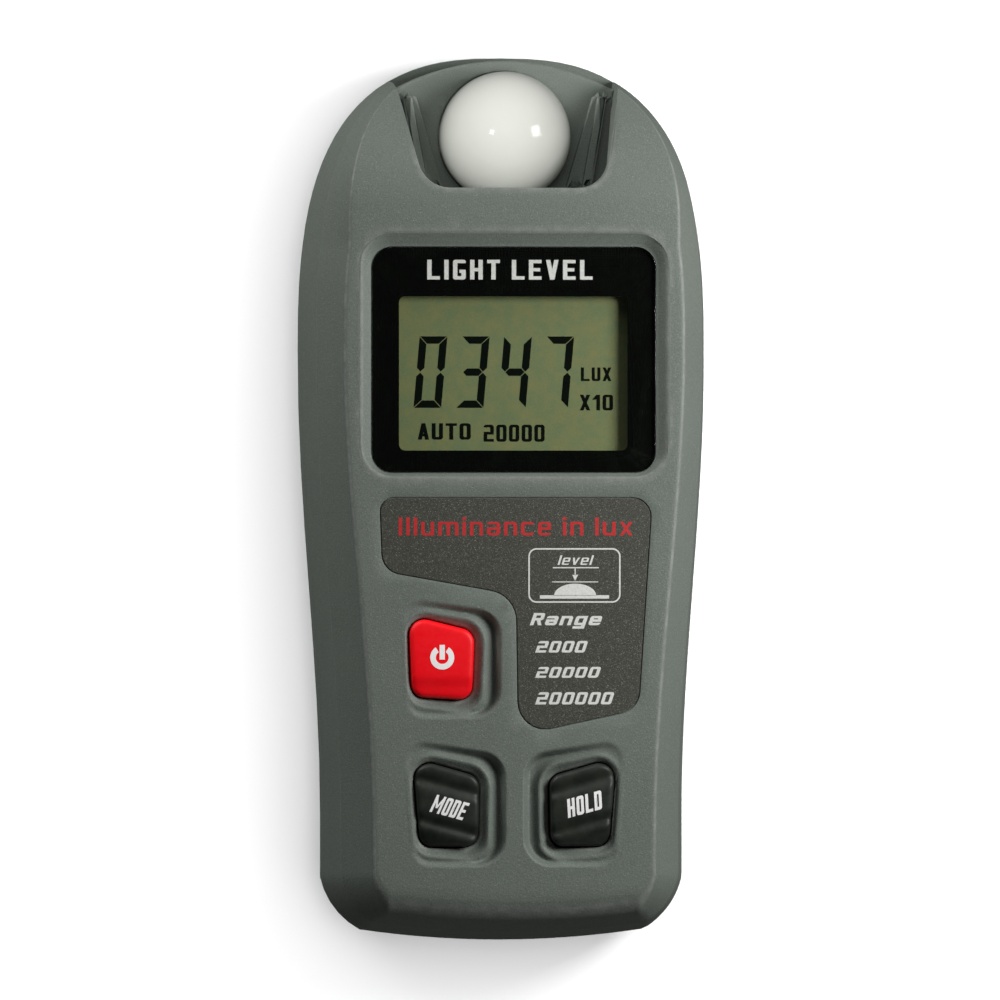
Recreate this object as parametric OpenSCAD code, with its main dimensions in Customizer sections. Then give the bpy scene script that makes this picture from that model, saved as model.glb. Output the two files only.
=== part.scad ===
// Handheld light meter, lying on its back: X across, Y towards the sensor, Z out of the face.
// The origin is under the middle of the case, on the surface that the back rests on.

/* [Case] */
// Length of the case, from the bottom end to the sensor end
case_l = 130; // [128:1:134]
// Greatest width of the case, at the shoulders
case_w = 60.2; // [60:0.2:62]
// Width of the case near the bottom end
waist_w = 53.6; // [53:0.2:55]
// Thickness of the case, from the back to the face
case_t = 28; // [28:0.2:29]
// Height of the parting line between the two covers
parting_z = 9.5; // [9:0.1:10]
// Wall thickness of the covers
wall = 2; // [1.8:0.1:2.2]
// How far the face drops where it meets the sensor end
nose_drop = 14.3; // [13:0.1:15]

/* [Display] */
// Width of the clear window plate
window_w = 42; // [41:0.5:43]
// Height of the clear window plate
window_h = 33.2; // [32:0.2:34]
// Width of the clear opening in the printed mask
aperture_w = 33.7; // [32:0.1:35]
// Height of the clear opening in the printed mask
aperture_h = 22.6; // [21:0.1:23]
// Depth of the window below the face
window_sink = 1; // [0.8:0.1:1.2]

/* [Keys] */
// How far a key goes in
key_travel = 1; // [0.6:0.1:1]
// How far a key stands out of the face
key_proud = 0.6; // [0.4:0.1:0.8]
// Gap between a key and the edge of its hole
key_gap = 0.35; // [0.3:0.05:0.4]

/* [Sensor] */
// Radius of the opal dome
dome_r = 9.65; // [9.4:0.05:9.7]
// Distance of the dome's centre from the middle of the case
dome_y = 53.3; // [53:0.1:53.5]
// Height of the dome's centre
dome_z = 15; // [14.8:0.1:15.4]

/* [Batteries] */
// Radius of one cell
cell_r = 5.25; // [5:0.05:5.25]
// Length of one cell, with its contact
cell_l = 44.5; // [44:0.1:44.5]
// Distance between two cells
cell_pitch = 11; // [10.8:0.1:11]

/* [Hidden] */

half_l = case_l / 2;
half_w = case_w / 2;
half_waist = waist_w / 2;
inner_top = case_t - wall;
fine = 48;

// The shoulder is a quarter of a superellipse above this line
shoulder_y = half_l - 43;
shoulder_power = 2.7;
// The bottom corner turns between these two angles, with a slight kink at each end
corner_r = 11.5;
corner_from = 12;
corner_to = 62;
corner_c = [half_waist - corner_r * cos(corner_from), -half_l + 11.7];
corner_end = corner_c + corner_r * [cos(corner_to), -sin(corner_to)];

// Cover sections: height, inset at the sides and top, inset at the bottom end
front_profile = [[parting_z, 0.25, 0.25], [parting_z + 0.3, 0, 0.02], [parting_z + 5, 0.6, 0.25],
                 [case_t - 7.4, 1.45, 1.3], [case_t - 6.6, 1.75, 1.55], [case_t - 4, 3.1, 2.45],
                 [case_t - 1.4, 4.45, 4.1], [case_t - 0.4, 5.0, 5.3], [case_t, 5.6, 6.8]];
front_inside = [[parting_z, 2.25, 2.25, 0], [case_t - 7.4, 3.5, 3.4, 0.6],
                [case_t - 1.4, 6.1, 6.2, wall - 1.2], [case_t, 7, 8, wall]];
rear_profile = [[parting_z, 0.25, 0.25], [parting_z - 0.3, 0, 0], [parting_z - 5, 0.45, 0.4],
                [3, 1.0, 1.0], [1.2, 1.9, 2.1], [0.4, 2.9, 3.2], [0, 3.9, 4.4]];
rear_inside = [[parting_z, 2.25, 2.25, 0], [3.5, 2.9, 2.9, 0], [0, 4.6, 5, -wall]];

// The two mirrored lower keys and the power key: corners as x, y and corner radius
mode_corners = [[-15, -37.9, 2.3], [-13.9, -50.9, 1.9], [-5.4, -50.9, 1.9], [-5.2, -40.7, 2.1]];
power_corners = [[-15.6, -17, 2.2], [-15.1, -29, 2], [-6.3, -29.5, 2], [-5.9, -19.4, 2.2]];
// The scooped wells round the keys
mode_well = [[-16.4, -35.2, 3], [-15, -53.4, 3], [-1.7, -53.4, 4], [-1.7, -37.7, 3.6]];
power_well = [[-16.8, -14.1, 3], [-16, -31.4, 3], [-2.2, -31.4, 4], [-2.2, -16.4, 3.6]];
// The printed label
label_corners = [[-19.8, 0.1, 1.9], [-19.4, -10.5, 3], [0.3, -14, 4.6], [0.6, -34.6, 4],
                 [18.2, -30.8, 3.4], [20.2, 0.1, 2.7]];
// The sensor notch in the front cover
notch_corners = [[-17.8, 67, 0.1], [-13.2, 45.6, 4.6], [13.2, 45.6, 4.6], [17.8, 67, 0.1]];

window_y = 20.4;
window_top = case_t - window_sink;
window_t = 0.9;
mask_t = 0.1;
ledge_z = window_top - window_t - mask_t;
ledge_t = 1.4;
aperture_y = 18.4;
label_t = 0.25;
label_sink = 0.3;

// The board and what stands on it
board_z = 17;
board_t = 1.6;
board_top = board_z + board_t;
mat_t = 0.8;
pill_t = 0.6;
key_z = board_top + 0.1 + key_travel + pill_t;
key_flange_t = 1.6;
lcd_top = ledge_z - ledge_t - 0.2;
glass_t = 2.2;

// Battery bay
bay_half = 17;
bay_wall = 1.2;
bay_low = -59.5;
bay_high = -9.3;
cell_z = 2.6 + cell_r;
bay_roof = cell_z + cell_r + 0.3;
bay_roof_t = 1.2;
cell_low = bay_low + 5;
// The middle cell lies the other way round, with its spring at the upper end
cell_shift = bay_low + bay_high - 2 * cell_low - cell_l;
door_half = 16.8;
door_high = -8;
door_gap = 0.2;
rail_out = 1.4;
rail_z = 1.1;
rail_t = 0.9;

// Fasteners
case_screw_at = [[-19.5, 43.5], [19.5, 43.5], [-21.1, -49.5], [21.1, -49.5]];
board_screw_at = [[-19.8, -4.8], [19.8, -4.8], [-19.9, -31.5], [19.9, -31.5]];
screw_r = 1.15;
screw_head_r = 2;
sensor_screw_at = [[-11.4, 57.6], [11.4, 57.6]];
bush_y = 22;
bush_r = 4.5;
bush_l = 7;
thread_r = 2.6;

// Floor of the sensor seat
seat_low = parting_z + 0.05;
seat_top = 13.4;

body_colour = [0.36, 0.39, 0.36];
board_colour = [0.1, 0.35, 0.2];

// ---- outlines ----

function unit2(v) = v / norm(v);
function turn(a) = a > 180 ? a - 360 : a < -180 ? a + 360 : a;

// One rounded corner b between its neighbours a and c; b[2] is the radius
function corner(a, b, c, steps) =
    let (p = [b[0], b[1]],
         u = unit2([a[0], a[1]] - p),
         w = unit2([c[0], c[1]] - p),
         half = acos(u * w) / 2,
         centre = p + unit2(u + w) * b[2] / sin(half),
         start = p + u * b[2] / tan(half) - centre,
         end = p + w * b[2] / tan(half) - centre,
         from = atan2(start[1], start[0]),
         sweep = turn(atan2(end[1], end[0]) - from))
    [for (i = [0:steps]) centre + b[2] * [cos(from + sweep * i / steps), sin(from + sweep * i / steps)]];

// A closed outline with a radius at each corner, given counter-clockwise
function rounded(v, steps = 5) =
    let (n = len(v))
    [for (i = [0:n - 1]) each corner(v[(i + n - 1) % n], v[i], v[(i + 1) % n], steps)];

// The same corners moved out by d, with their radii grown to suit
function grown(v, d) =
    let (n = len(v))
    [for (i = [0:n - 1])
        let (a = v[(i + n - 1) % n], b = v[i], c = v[(i + 1) % n],
             e = unit2([b[0] - a[0], b[1] - a[1]]),
             f = unit2([c[0] - b[0], c[1] - b[1]]),
             out = [e[1], -e[0]] + [f[1], -f[0]],
             convex = e[0] * f[1] - e[1] * f[0] > 0,
             shift = out * d / (1 + e * f))
        [b[0] + shift[0], b[1] + shift[1], max(0.1, b[2] + (convex ? d : -d))]];

function mirrored(v) = [for (i = [len(v) - 1:-1:0]) [-v[i][0], v[i][1], v[i][2]]];

module prism(points, low, high) {
    translate([0, 0, low]) linear_extrude(high - low) polygon(points);
}

module plate(w, h, r, low, high, y = 0) {
    prism(rounded([[-w / 2, y + h / 2, r], [-w / 2, y - h / 2, r],
                   [w / 2, y - h / 2, r], [w / 2, y + h / 2, r]]), low, high);
}

// ---- the case as stacked outlines ----

function clamp01(t) = min(1, max(0, t));
function smooth01(t) = clamp01(t) * clamp01(t) * (3 - 2 * clamp01(t));

// Right half of the widest outline, from the sensor end round to the bottom end
half_outline = concat(
    [for (i = [0:23]) let (a = 90 - i * 90 / 24)
        [half_w * pow(cos(a), 2 / shoulder_power), shoulder_y + 43 * pow(sin(a), 2 / shoulder_power)]],
    [for (i = [0:9]) let (y = shoulder_y - i * (shoulder_y - corner_c[1] + 2.4) / 9)
        [half_waist + (half_w - half_waist) * smooth01((y + 46) / 66), y]],
    [for (i = [1:5]) let (a = corner_from + (corner_to - corner_from) * i / 5)
        corner_c + corner_r * [cos(a), -sin(a)]],
    [for (i = [1:7]) let (x = corner_end[0] * (1 - i / 7))
        [x, -half_l + (corner_end[1] + half_l) * pow(x / corner_end[0], 2)]]);
rows = len(half_outline) - 1;
ring_n = 2 * rows;

function case_point(i) = let (k = i % ring_n) k <= rows ? half_outline[k]
    : [-half_outline[ring_n - k][0], half_outline[ring_n - k][1]];
case_normals = [for (i = [0:ring_n - 1])
    let (t = unit2(case_point(i + 1) - case_point(i + ring_n - 1))) [-t[1], t[0]]];

// The face rolls down to the sensor end, and the bevel narrows with it
function nose(y) = 1 - nose_drop / (case_t - parting_z) * pow(max(0, y - 44) / (half_l - 44), 2);
function bevel_scale(y) = y > 20 ? 1 - 0.8 * clamp01((y - 38) / 24) : 1 + 0.22 * clamp01((20 - y) / 75);

function moved(i, side, bottom) =
    let (p = case_point(i), n = case_normals[i], s = side * bevel_scale(p[1]))
    p - [n[0] * s, n[1] * (n[1] < 0 ? bottom : s)];
// One outline of a section: height, two insets and how far it lies below the surface it follows.
// A constant extra inset keeps a wall's thickness where the bevel narrows.
function ring_points(section, follows_nose, extra = 0, gap = 0) =
    [for (i = [0:ring_n - 1])
        let (p = moved(i, section[1] - extra, section[2] - extra),
             lift = follows_nose ? nose(case_point(i)[1]) : 1,
             drop = section[3] == undef ? 0 : section[3] + gap,
             n = case_normals[i] * (extra + gap))
        [p[0] - n[0], p[1] - n[1], parting_z + (section[0] - parting_z) * lift - drop]];

function band(a, b) = [for (i = [0:ring_n - 1]) let (j = (i + 1) % ring_n)
    [a * ring_n + i, a * ring_n + j, b * ring_n + j, b * ring_n + i]];
// A flat strip across the case between each pair of mirrored points
function cap(a) = [for (i = [0:rows - 1])
    i == 0 ? [a * ring_n, a * ring_n + 1, a * ring_n + ring_n - 1]
    : i == rows - 1 ? [a * ring_n + i, a * ring_n + i + 1, a * ring_n + ring_n - i]
    : [a * ring_n + i, a * ring_n + i + 1, a * ring_n + ring_n - i - 1, a * ring_n + ring_n - i]];
function flipped(faces) = [for (f = faces) [for (i = [len(f) - 1:-1:0]) f[i]]];

// A shell open at the parting line, with its inside stepped in by a wall
module shell(outside, inside, up) {
    outer_n = len(outside);
    inner_n = len(inside);
    points = concat(
        [for (s = outside) each ring_points(s, up)],
        [for (s = inside) each ring_points(s, up, wall)]);
    skin = concat([for (k = [0:outer_n - 2]) each band(k, k + 1)], cap(outer_n - 1));
    lining = concat([for (k = [0:inner_n - 2]) each band(outer_n + k, outer_n + k + 1)],
                    cap(outer_n + inner_n - 1));
    faces = concat(flipped(skin), lining, band(0, outer_n));
    polyhedron(points, up ? flipped(faces) : faces, convexity = 6);
}

// The solid that a stack of sections encloses
module shell_solid(sections, up, extra = 0, gap = 0) {
    n = len(sections);
    points = [for (s = sections) each ring_points(s, up, extra, gap)];
    faces = concat(flipped([for (k = [0:n - 2]) each band(k, k + 1)]),
                   flipped(cap(n - 1)), cap(0));
    polyhedron(points, up ? flipped(faces) : faces, convexity = 4);
}

// ---- sweeps ----

// A closed loft through rings that all have the same number of points
module loop_loft(rings, closed) {
    n = len(rings[0]);
    m = len(rings);
    points = [for (r = rings) each r];
    side = [for (k = [0:closed ? m - 1 : m - 2]) each
        [for (i = [0:n - 1]) let (j = (i + 1) % n, q = (k + 1) % m)
            [k * n + i, q * n + i, q * n + j, k * n + j]]];
    ends = closed ? [] : [[for (i = [0:n - 1]) i], [for (i = [n - 1:-1:0]) (m - 1) * n + i]];
    polyhedron(points, concat(side, ends), convexity = 8);
}

function lerp(a, b, t) = a + (b - a) * t;
function bend(p, t) =
    let (n = len(p) - 1, k = min(n - 1, floor(t)), u = t - k,
         a = p[max(0, k - 1)], b = p[k], c = p[k + 1], d = p[min(n, k + 2)])
    0.5 * ((2 * b) + (c - a) * u + (2 * a - 5 * b + 4 * c - d) * u * u
           + (3 * b - 3 * c + d - a) * u * u * u);

// A round wire of radius r along a smooth curve through the route's points
module wire(route, r, steps = 4, sides = 8) {
    n = (len(route) - 1) * steps;
    path = [for (i = [0:n]) bend(route, i / steps)];
    rings = [for (i = [0:n])
        let (d = path[min(n, i + 1)] - path[max(0, i - 1)],
             f = d / norm(d),
             side0 = abs(f[2]) > 0.95 ? [1, 0, 0] : [0, 0, 1],
             u = cross(f, side0) / norm(cross(f, side0)),
             w = cross(f, u))
        [for (j = [0:sides - 1]) path[i] + r * (cos(360 * j / sides) * u + sin(360 * j / sides) * w)]];
    loop_loft(rings, false);
}

// ---- covers ----

// A scooped well round a key: deepest beside the centre line, with a raised lip at the hole
module well_cut(well, corners, depth) {
    difference() {
        intersection() {
            prism(rounded(well), case_t - 2, case_t + 1);
            translate([-1.7, (well[0][1] + well[1][1]) / 2 + 6, case_t - depth])
                rotate([-2.2, 4.2, 0])
                translate([-25, -30, 0]) cube([50, 60, 6]);
        }
        prism(rounded(grown(corners, 1.5)), case_t - 3, case_t + 2);
    }
}

module key_opening(corners) {
    prism(rounded(grown(corners, key_gap)), case_t - 5, case_t + 1);
}

module boss(at, r, low, high) {
    translate([at[0], at[1], low]) cylinder(r = r, h = high - low, $fn = fine);
}

module front_cover() color(body_colour) {
    difference() {
        union() {
            shell(front_profile, front_inside, true);
            // Ledge that carries the window
            plate(window_w + 4, window_h + 4, 3, ledge_z - ledge_t, inner_top + 0.4, window_y);
            for (at = case_screw_at) boss(at, 2.7, parting_z + 0.3, at[1] > 0 ? inner_top + 0.2 : 19.6);
            for (at = board_screw_at) boss(at, 2.3, board_top, inner_top + 0.2);
        }
        // Window recess, seat of the plate and the opening over the display
        plate(window_w + 3, window_h + 2.6, 4.6, window_top - 0.15, case_t + 1, window_y + 0.7);
        plate(window_w, window_h, 3, ledge_z, case_t, window_y);
        plate(aperture_w + 1.6, aperture_h + 1.6, 1.5, case_t - 6, case_t, aperture_y);
        prism(rounded(grown(label_corners, 0.15)), case_t - label_sink, case_t + 1);
        well_cut(mode_well, mode_corners, 1);
        well_cut(power_well, power_corners, 1);
        mirror([1, 0, 0]) well_cut(mode_well, mode_corners, 1);
        key_opening(mode_corners);
        key_opening(power_corners);
        key_opening(mirrored(mode_corners));
        prism(rounded(notch_corners), parting_z - 1, case_t + 1);
        for (at = case_screw_at) boss(at, screw_r + 0.05, parting_z - 1, 19);
        for (at = board_screw_at) boss(at, screw_r + 0.05, board_top - 1, 24);
    }
}

module door_slot(gap) {
    translate([-door_half - gap, -half_l - 1, -1])
        cube([2 * (door_half + gap), half_l + 1 + door_high + gap, rail_z + 1 + gap]);
    translate([-door_half - rail_out - gap, -half_l - 1, rail_z - gap])
        cube([2 * (door_half + rail_out + gap), half_l + 1 + door_high + gap, rail_t + 2 * gap]);
}

module rear_cover() color(body_colour) {
    bay_l = bay_high - bay_low + 2 * bay_wall;
    bay_y = bay_low - bay_wall;
    difference() {
        union() {
            shell(rear_profile, rear_inside, false);
            // Battery bay
            translate([-bay_half - bay_wall - 1.5, bay_y, 0.5])
                cube([2 * (bay_half + bay_wall + 1.5), bay_l, 4]);
            translate([-bay_half - bay_wall, bay_y, 1])
                cube([2 * (bay_half + bay_wall), bay_l, bay_roof + bay_roof_t - 1]);
            for (at = case_screw_at) boss(at, 3.2, 1, parting_z);
            boss([0, bush_y], bush_r + 2, 1, bush_l + 1.6);
            for (x = [-15.4, 15.4]) boss([x, 56], 1.4, 1, parting_z - 0.05);
        }
        translate([-bay_half, bay_low, -1])
            cube([2 * bay_half, bay_high - bay_low, bay_roof + 1]);
        door_slot(door_gap);
        for (at = case_screw_at) {
            boss(at, screw_r + 0.35, -1, parting_z + 1);
            boss(at, screw_head_r + 0.3, -1, 2.6);
        }
        boss([0, bush_y], bush_r, -1, bush_l);
        // Openings for the battery leads in the bay's upper wall
        for (x = [-13.5, 13.5]) translate([x, bay_high + bay_wall + 1, 9])
            rotate([90, 0, 0]) cylinder(r = 0.9, h = bay_wall + 2, $fn = fine);
    }
}

module battery_door() color(body_colour) {
    difference() {
        intersection() {
            shell_solid(rear_profile, false);
            union() {
                translate([-door_half, -half_l - 1, -0.5])
                    cube([2 * door_half, half_l + 1 + door_high, rail_z + 0.5 + rail_t]);
                translate([-door_half - rail_out, -half_l - 1, rail_z])
                    cube([2 * (door_half + rail_out), half_l + 1 + door_high, rail_t]);
            }
        }
        // Thumb grip: a shallow dish with ridges left standing
        difference() {
            plate(14, 12, 2, -1, 0.6, -18);
            for (i = [-2:2]) translate([-6, -18 + 2.2 * i - 0.45, -1]) cube([12, 0.9, 3]);
        }
    }
}

// ---- sensor end ----

module sensor_seat() color(body_colour) {
    top_arc_r = 33;
    difference() {
        union() {
            intersection() {
                prism(rounded(grown(notch_corners, -0.15)), seat_low, seat_top);
                translate([0, half_l - 0.45 - top_arc_r, 0]) cylinder(r = top_arc_r, h = 30, $fn = 96);
            }
            // Floor and wall that tuck under the front cover
            intersection() {
                difference() {
                    prism(rounded(grown(notch_corners, 3.2)), seat_low, 30);
                    prism(rounded(grown(notch_corners, 2.2)), seat_top, 31);
                }
                shell_solid(front_inside, true, wall, 0.15);
            }
            // A low terrace and a higher rail a side
            for (s = [-1, 1]) {
                prism(rounded(ridge(s, 8.65, 3.75, 13, 2)), seat_top - 0.2, seat_top + 0.8);
                prism(rounded(ridge(s, 12.4, 0.85, 15, 0.85)), seat_top - 0.2, seat_top + 1.9);
            }
        }
        boss([0, dome_y], dome_r + 0.1, 0, 30);
        // Pockets for the dome's lugs
        translate([-12.9, dome_y - 2.4, 0]) cube([25.8, 4.8, 11.6]);
        for (at = sensor_screw_at) boss(at, screw_r + 0.05, 0, 12.8);
    }
}

// A strip from under the front cover outwards to the sensor end: place and width at each end
function ridge(s, x0, w0, x1, w1) =
    let (v = [[x0, 44.3, 0.2], [x0 + w0, 44.3, 0.2], [x1 + w1, 59.3, 0.4], [x1, 59.3, 0.4]])
    s > 0 ? v : mirrored(v);

module diffuser_dome() color([0.95, 0.95, 0.9]) {
    shell_t = 1.2;
    difference() {
        union() {
            translate([0, dome_y, dome_z]) sphere(r = dome_r, $fn = 96);
            translate([0, dome_y, parting_z + 0.1]) cylinder(r = dome_r, h = dome_z - parting_z - 0.1, $fn = 96);
            translate([-12.6, dome_y - 2.2, parting_z + 0.1]) cube([25.2, 4.4, 1.9]);
        }
        translate([0, dome_y, dome_z]) sphere(r = dome_r - shell_t, $fn = 96);
        translate([0, dome_y, 0]) cylinder(r = dome_r - shell_t, h = dome_z, $fn = 96);
        translate([-dome_r, dome_y - dome_r, 0]) cube([2 * dome_r, 2 * dome_r, parting_z + 0.1]);
    }
}

module green_filter() color([0.3, 0.6, 0.35]) {
    translate([0, dome_y, 12.4]) cylinder(r = 4, h = 1.2, $fn = fine);
}

module photodiode() color([0.2, 0.2, 0.22]) {
    translate([0, dome_y, 9.4]) cylinder(r = 4.6, h = 0.6, $fn = fine);
    translate([0, dome_y, 10]) cylinder(r = 4.1, h = 2.4, $fn = fine);
}

module sensor_board() color(board_colour) {
    difference() {
        plate(26.4, 16, 3, 8.2, 9.4, 52);
        for (at = sensor_screw_at) boss(at, screw_r + 0.3, 0, 30);
    }
}

module screw(at, head_z, tip_z, head_r = screw_head_r) {
    up = tip_z > head_z ? 1 : -1;
    head_t = 1.3;
    translate([at[0], at[1], head_z]) mirror([0, 0, up > 0 ? 0 : 1]) difference() {
        union() {
            cylinder(r = head_r, h = head_t, $fn = fine);
            cylinder(r = screw_r, h = abs(tip_z - head_z) - 0.8, $fn = fine);
            translate([0, 0, abs(tip_z - head_z) - 0.8]) cylinder(r1 = screw_r, r2 = 0.4, h = 0.8, $fn = fine);
        }
        for (a = [0, 90]) rotate(a) translate([-0.3, -head_r * 0.62, -1]) cube([0.6, head_r * 1.24, 1.8]);
    }
}

module sensor_screws() color("silver") {
    for (at = sensor_screw_at) screw(at, 6.9, 12.4, 1.9);
}

module sensor_lead() color([0.85, 0.85, 0.8]) {
    for (x = [5, 6.3, 7.6])
        wire([[x, 46, 8.1], [x, 46, 7.3], [x, 44.6, 6.6], [x, 41.5, 7.4], [x, 38.6, 9.5], [x, 37.2, 13], [x, 37, 17]], 0.5);
}

// ---- display ----

module display_window() color([0.8, 0.85, 0.85, 0.3]) {
    plate(window_w - 0.2, window_h - 0.2, 2.9, window_top - window_t, window_top, window_y);
}

module window_mask() color([0.03, 0.03, 0.03]) {
    difference() {
        plate(window_w - 0.2, window_h - 0.2, 2.9, ledge_z, ledge_z + mask_t, window_y);
        plate(aperture_w, aperture_h, 0.9, 0, 40, aperture_y);
    }
}

module label_overlay() color([0.2, 0.2, 0.18]) {
    prism(rounded(label_corners), case_t - label_sink, case_t - label_sink + label_t);
}

module lcd_polarizer() color([0.5, 0.54, 0.42, 0.6]) {
    plate(36.4, 25.6, 0.3, lcd_top - 0.2, lcd_top, aperture_y);
}

module lcd_glass() color([0.6, 0.65, 0.55, 0.5]) {
    plate(38.4, 27.4, 0.4, lcd_top - 0.2 - glass_t / 2, lcd_top - 0.2, aperture_y);
    plate(38.4, 30.4, 0.4, lcd_top - 0.2 - glass_t, lcd_top - 0.2 - glass_t / 2, aperture_y + 1.5);
}

module lcd_reflector() color([0.7, 0.72, 0.6]) {
    plate(37, 26, 0.4, lcd_top - 0.6 - glass_t, lcd_top - 0.2 - glass_t, aperture_y);
}

module lcd_frame() color([0.85, 0.85, 0.82]) {
    low = board_top;
    difference() {
        union() {
            plate(42.4, 35.6, 1.5, low, lcd_top - 0.4, aperture_y + 1.4);
            for (x = [-18.8, 18.8], y = [3.6, 36.2]) boss([x, y], 0.8, board_z, low + 1);
        }
        // Seat of the glass and the shallow box under it
        plate(38.8, 31, 0.5, lcd_top - 0.25 - glass_t, 40, aperture_y + 1.4);
        plate(37.4, 26.4, 0.5, low + 0.8, 40, aperture_y - 0.2);
        // Slot for the elastomer strip
        translate([-18, 32.2, 0]) cube([36, 2, 40]);
    }
}

module zebra_strips() color([0.9, 0.55, 0.5]) {
    translate([-17.9, 32.3, board_top]) cube([35.8, 1.8, lcd_top - 0.2 - glass_t - board_top]);
}

// ---- board ----

module main_board() color(board_colour) {
    board_corners = [[-21.6, 40.2, 1.5], [-21.6, -36, 1], [-17.8, -40, 1], [-17.8, -56, 3],
                     [17.8, -56, 3], [17.8, -40, 1], [21.6, -36, 1], [21.6, 40.2, 1.5]];
    difference() {
        prism(rounded(board_corners, 3), board_z, board_top);
        for (at = board_screw_at) boss(at, screw_r + 0.3, 0, 40);
        for (x = [-18.8, 18.8], y = [3.6, 36.2]) boss([x, y], 0.9, 0, 40);
        for (x = [5, 6.3, 7.6]) boss([x, 37], 0.55, 0, 40);
        for (x = [-8, 8]) boss([x, -1], 0.75, 0, 40);
    }
}

module mcu_chip() color([0.08, 0.08, 0.08]) {
    body = 10;
    translate([-body / 2, 10, board_z - 1.6]) cube([body, body, 1.4]);
    for (side = [0:3], i = [-4:4])
        translate([0, 10 + body / 2, 0]) rotate(90 * side)
        translate([body / 2 - 0.1, i - 0.15, board_z - 1]) union() {
            cube([0.8, 0.3, 0.2]);
            translate([0.6, 0, 0]) cube([0.2, 0.3, 1]);
            translate([0.6, 0, 0.8]) cube([0.7, 0.3, 0.2]);
        }
}

module opamp_chip() color([0.1, 0.1, 0.1]) {
    translate([9, 26, board_z - 1.6]) cube([5, 4, 1.4]);
    for (i = [0:3], s = [0, 1]) translate([9.4 + 1.27 * i, s == 0 ? 25.2 : 29.9, board_z - 1]) union() {
        cube([0.4, 0.9, 0.2]);
        translate([0, s == 0 ? 0 : 0.7, 0]) cube([0.4, 0.2, 1]);
    }
}

module crystal() color("silver") {
    hull() for (x = [-3.4, 3.4]) translate([x - 13.5, 12, board_z - 3.2]) cylinder(r = 2, h = 3, $fn = 32);
    hull() for (x = [-3.6, 3.6]) translate([x - 13.5, 12, board_z - 0.5]) cylinder(r = 2.4, h = 0.5, $fn = 32);
}

module capacitors() color([0.15, 0.18, 0.3]) {
    for (at = [[-14, 22], [-14, 30]]) {
        boss(at, 2.5, board_z - 6, board_z - 0.4);
        translate([at[0] - 2.6, at[1] - 2.6, board_z - 0.4]) cube([5.2, 5.2, 0.4]);
    }
}

module trimmers() color([0.2, 0.4, 0.7]) {
    for (x = [-3, 3, 9]) {
        translate([x - 2.2, 1.8, board_z - 2.2]) cube([4.4, 4.4, 2.2]);
        difference() {
            boss([x, 4], 1.5, board_z - 2.9, board_z - 2.2);
            translate([x - 1.3, 3.75, board_z - 3.2]) cube([2.6, 0.5, 0.6]);
        }
    }
}

module resistors() color([0.12, 0.12, 0.12]) {
    for (i = [0:5]) translate([9.5, 8.2 + 2.6 * i, board_z - 0.5]) cube([2, 1.2, 0.5]);
    for (i = [0:4]) translate([-8 + 2.6 * i, 24, board_z - 0.5]) cube([1.2, 2, 0.5]);
}

// ---- keys ----

// The middle of a key, over its contact
function middle(corners) = [for (k = [0, 1]) (corners[0][k] + corners[1][k] + corners[2][k] + corners[3][k]) / 4];

function ring_at(points, z) = [for (p = points) [p[0], p[1], z]];

// A key: a crowned top on straight sides, with a flange under the cover
module key_body(corners) {
    top = case_t + key_proud;
    loop_loft([ring_at(rounded(corners), key_z + key_flange_t / 2),
               ring_at(rounded(corners), top - 1),
               ring_at(rounded(grown(corners, -0.15)), top - 0.5),
               ring_at(rounded(grown(corners, -0.5)), top - 0.15),
               ring_at(rounded(grown(corners, -1.1)), top)], false);
    prism(rounded(grown(corners, 0.8)), key_z, key_z + key_flange_t);
}

// The web that joins a key to the mat and folds when it is pushed
module skirt(corners) {
    loop_loft([ring_at(rounded(grown(corners, 0.9)), key_z - 0.1),
               ring_at(rounded(grown(corners, 1.7)), board_top + mat_t),
               ring_at(rounded(grown(corners, 1.2)), board_top + mat_t),
               ring_at(rounded(grown(corners, 0.4)), key_z - 0.1)], true);
}

module pill(corners) {
    boss(middle(corners), 2.4, key_z - pill_t, key_z);
}

module keypad_mat() color([0.15, 0.15, 0.15]) {
    difference() {
        plate(35, 40, 2, board_top, board_top + mat_t, -35);
        for (corners = [power_corners, mode_corners, mirrored(mode_corners)])
            prism(rounded(grown(corners, 1.15)), 0, 40);
    }
}

module power_key() color([0.8, 0.05, 0.07]) { key_body(power_corners); }
module mode_key() color([0.06, 0.06, 0.06]) { key_body(mode_corners); }
module hold_key() color([0.06, 0.06, 0.06]) { key_body(mirrored(mode_corners)); }
module power_skirt() color([0.8, 0.05, 0.07]) { skirt(power_corners); }
module mode_skirt() color([0.1, 0.1, 0.1]) { skirt(mode_corners); }
module hold_skirt() color([0.1, 0.1, 0.1]) { skirt(mirrored(mode_corners)); }
module power_pill() color([0.05, 0.05, 0.05]) { pill(power_corners); }
module mode_pill() color([0.05, 0.05, 0.05]) { pill(mode_corners); }
module hold_pill() color([0.05, 0.05, 0.05]) { pill(mirrored(mode_corners)); }

// ---- batteries ----

// A cell whose raised contact points up the case, or down it when flip is true
module cell(x, flip) {
    nub = 1;
    translate([x, cell_low + (flip ? cell_l + cell_shift : 0), cell_z]) rotate([flip ? 90 : -90, 0, 0]) union() {
        cylinder(r = cell_r, h = cell_l - nub, $fn = fine);
        translate([0, 0, cell_l - nub]) cylinder(r = 1.9, h = nub, $fn = fine);
    }
}

module cell_left() color([0.2, 0.35, 0.6]) { cell(-cell_pitch, false); }
module cell_middle() color([0.2, 0.35, 0.6]) { cell(0, true); }
module cell_right() color([0.2, 0.35, 0.6]) { cell(cell_pitch, false); }

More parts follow.
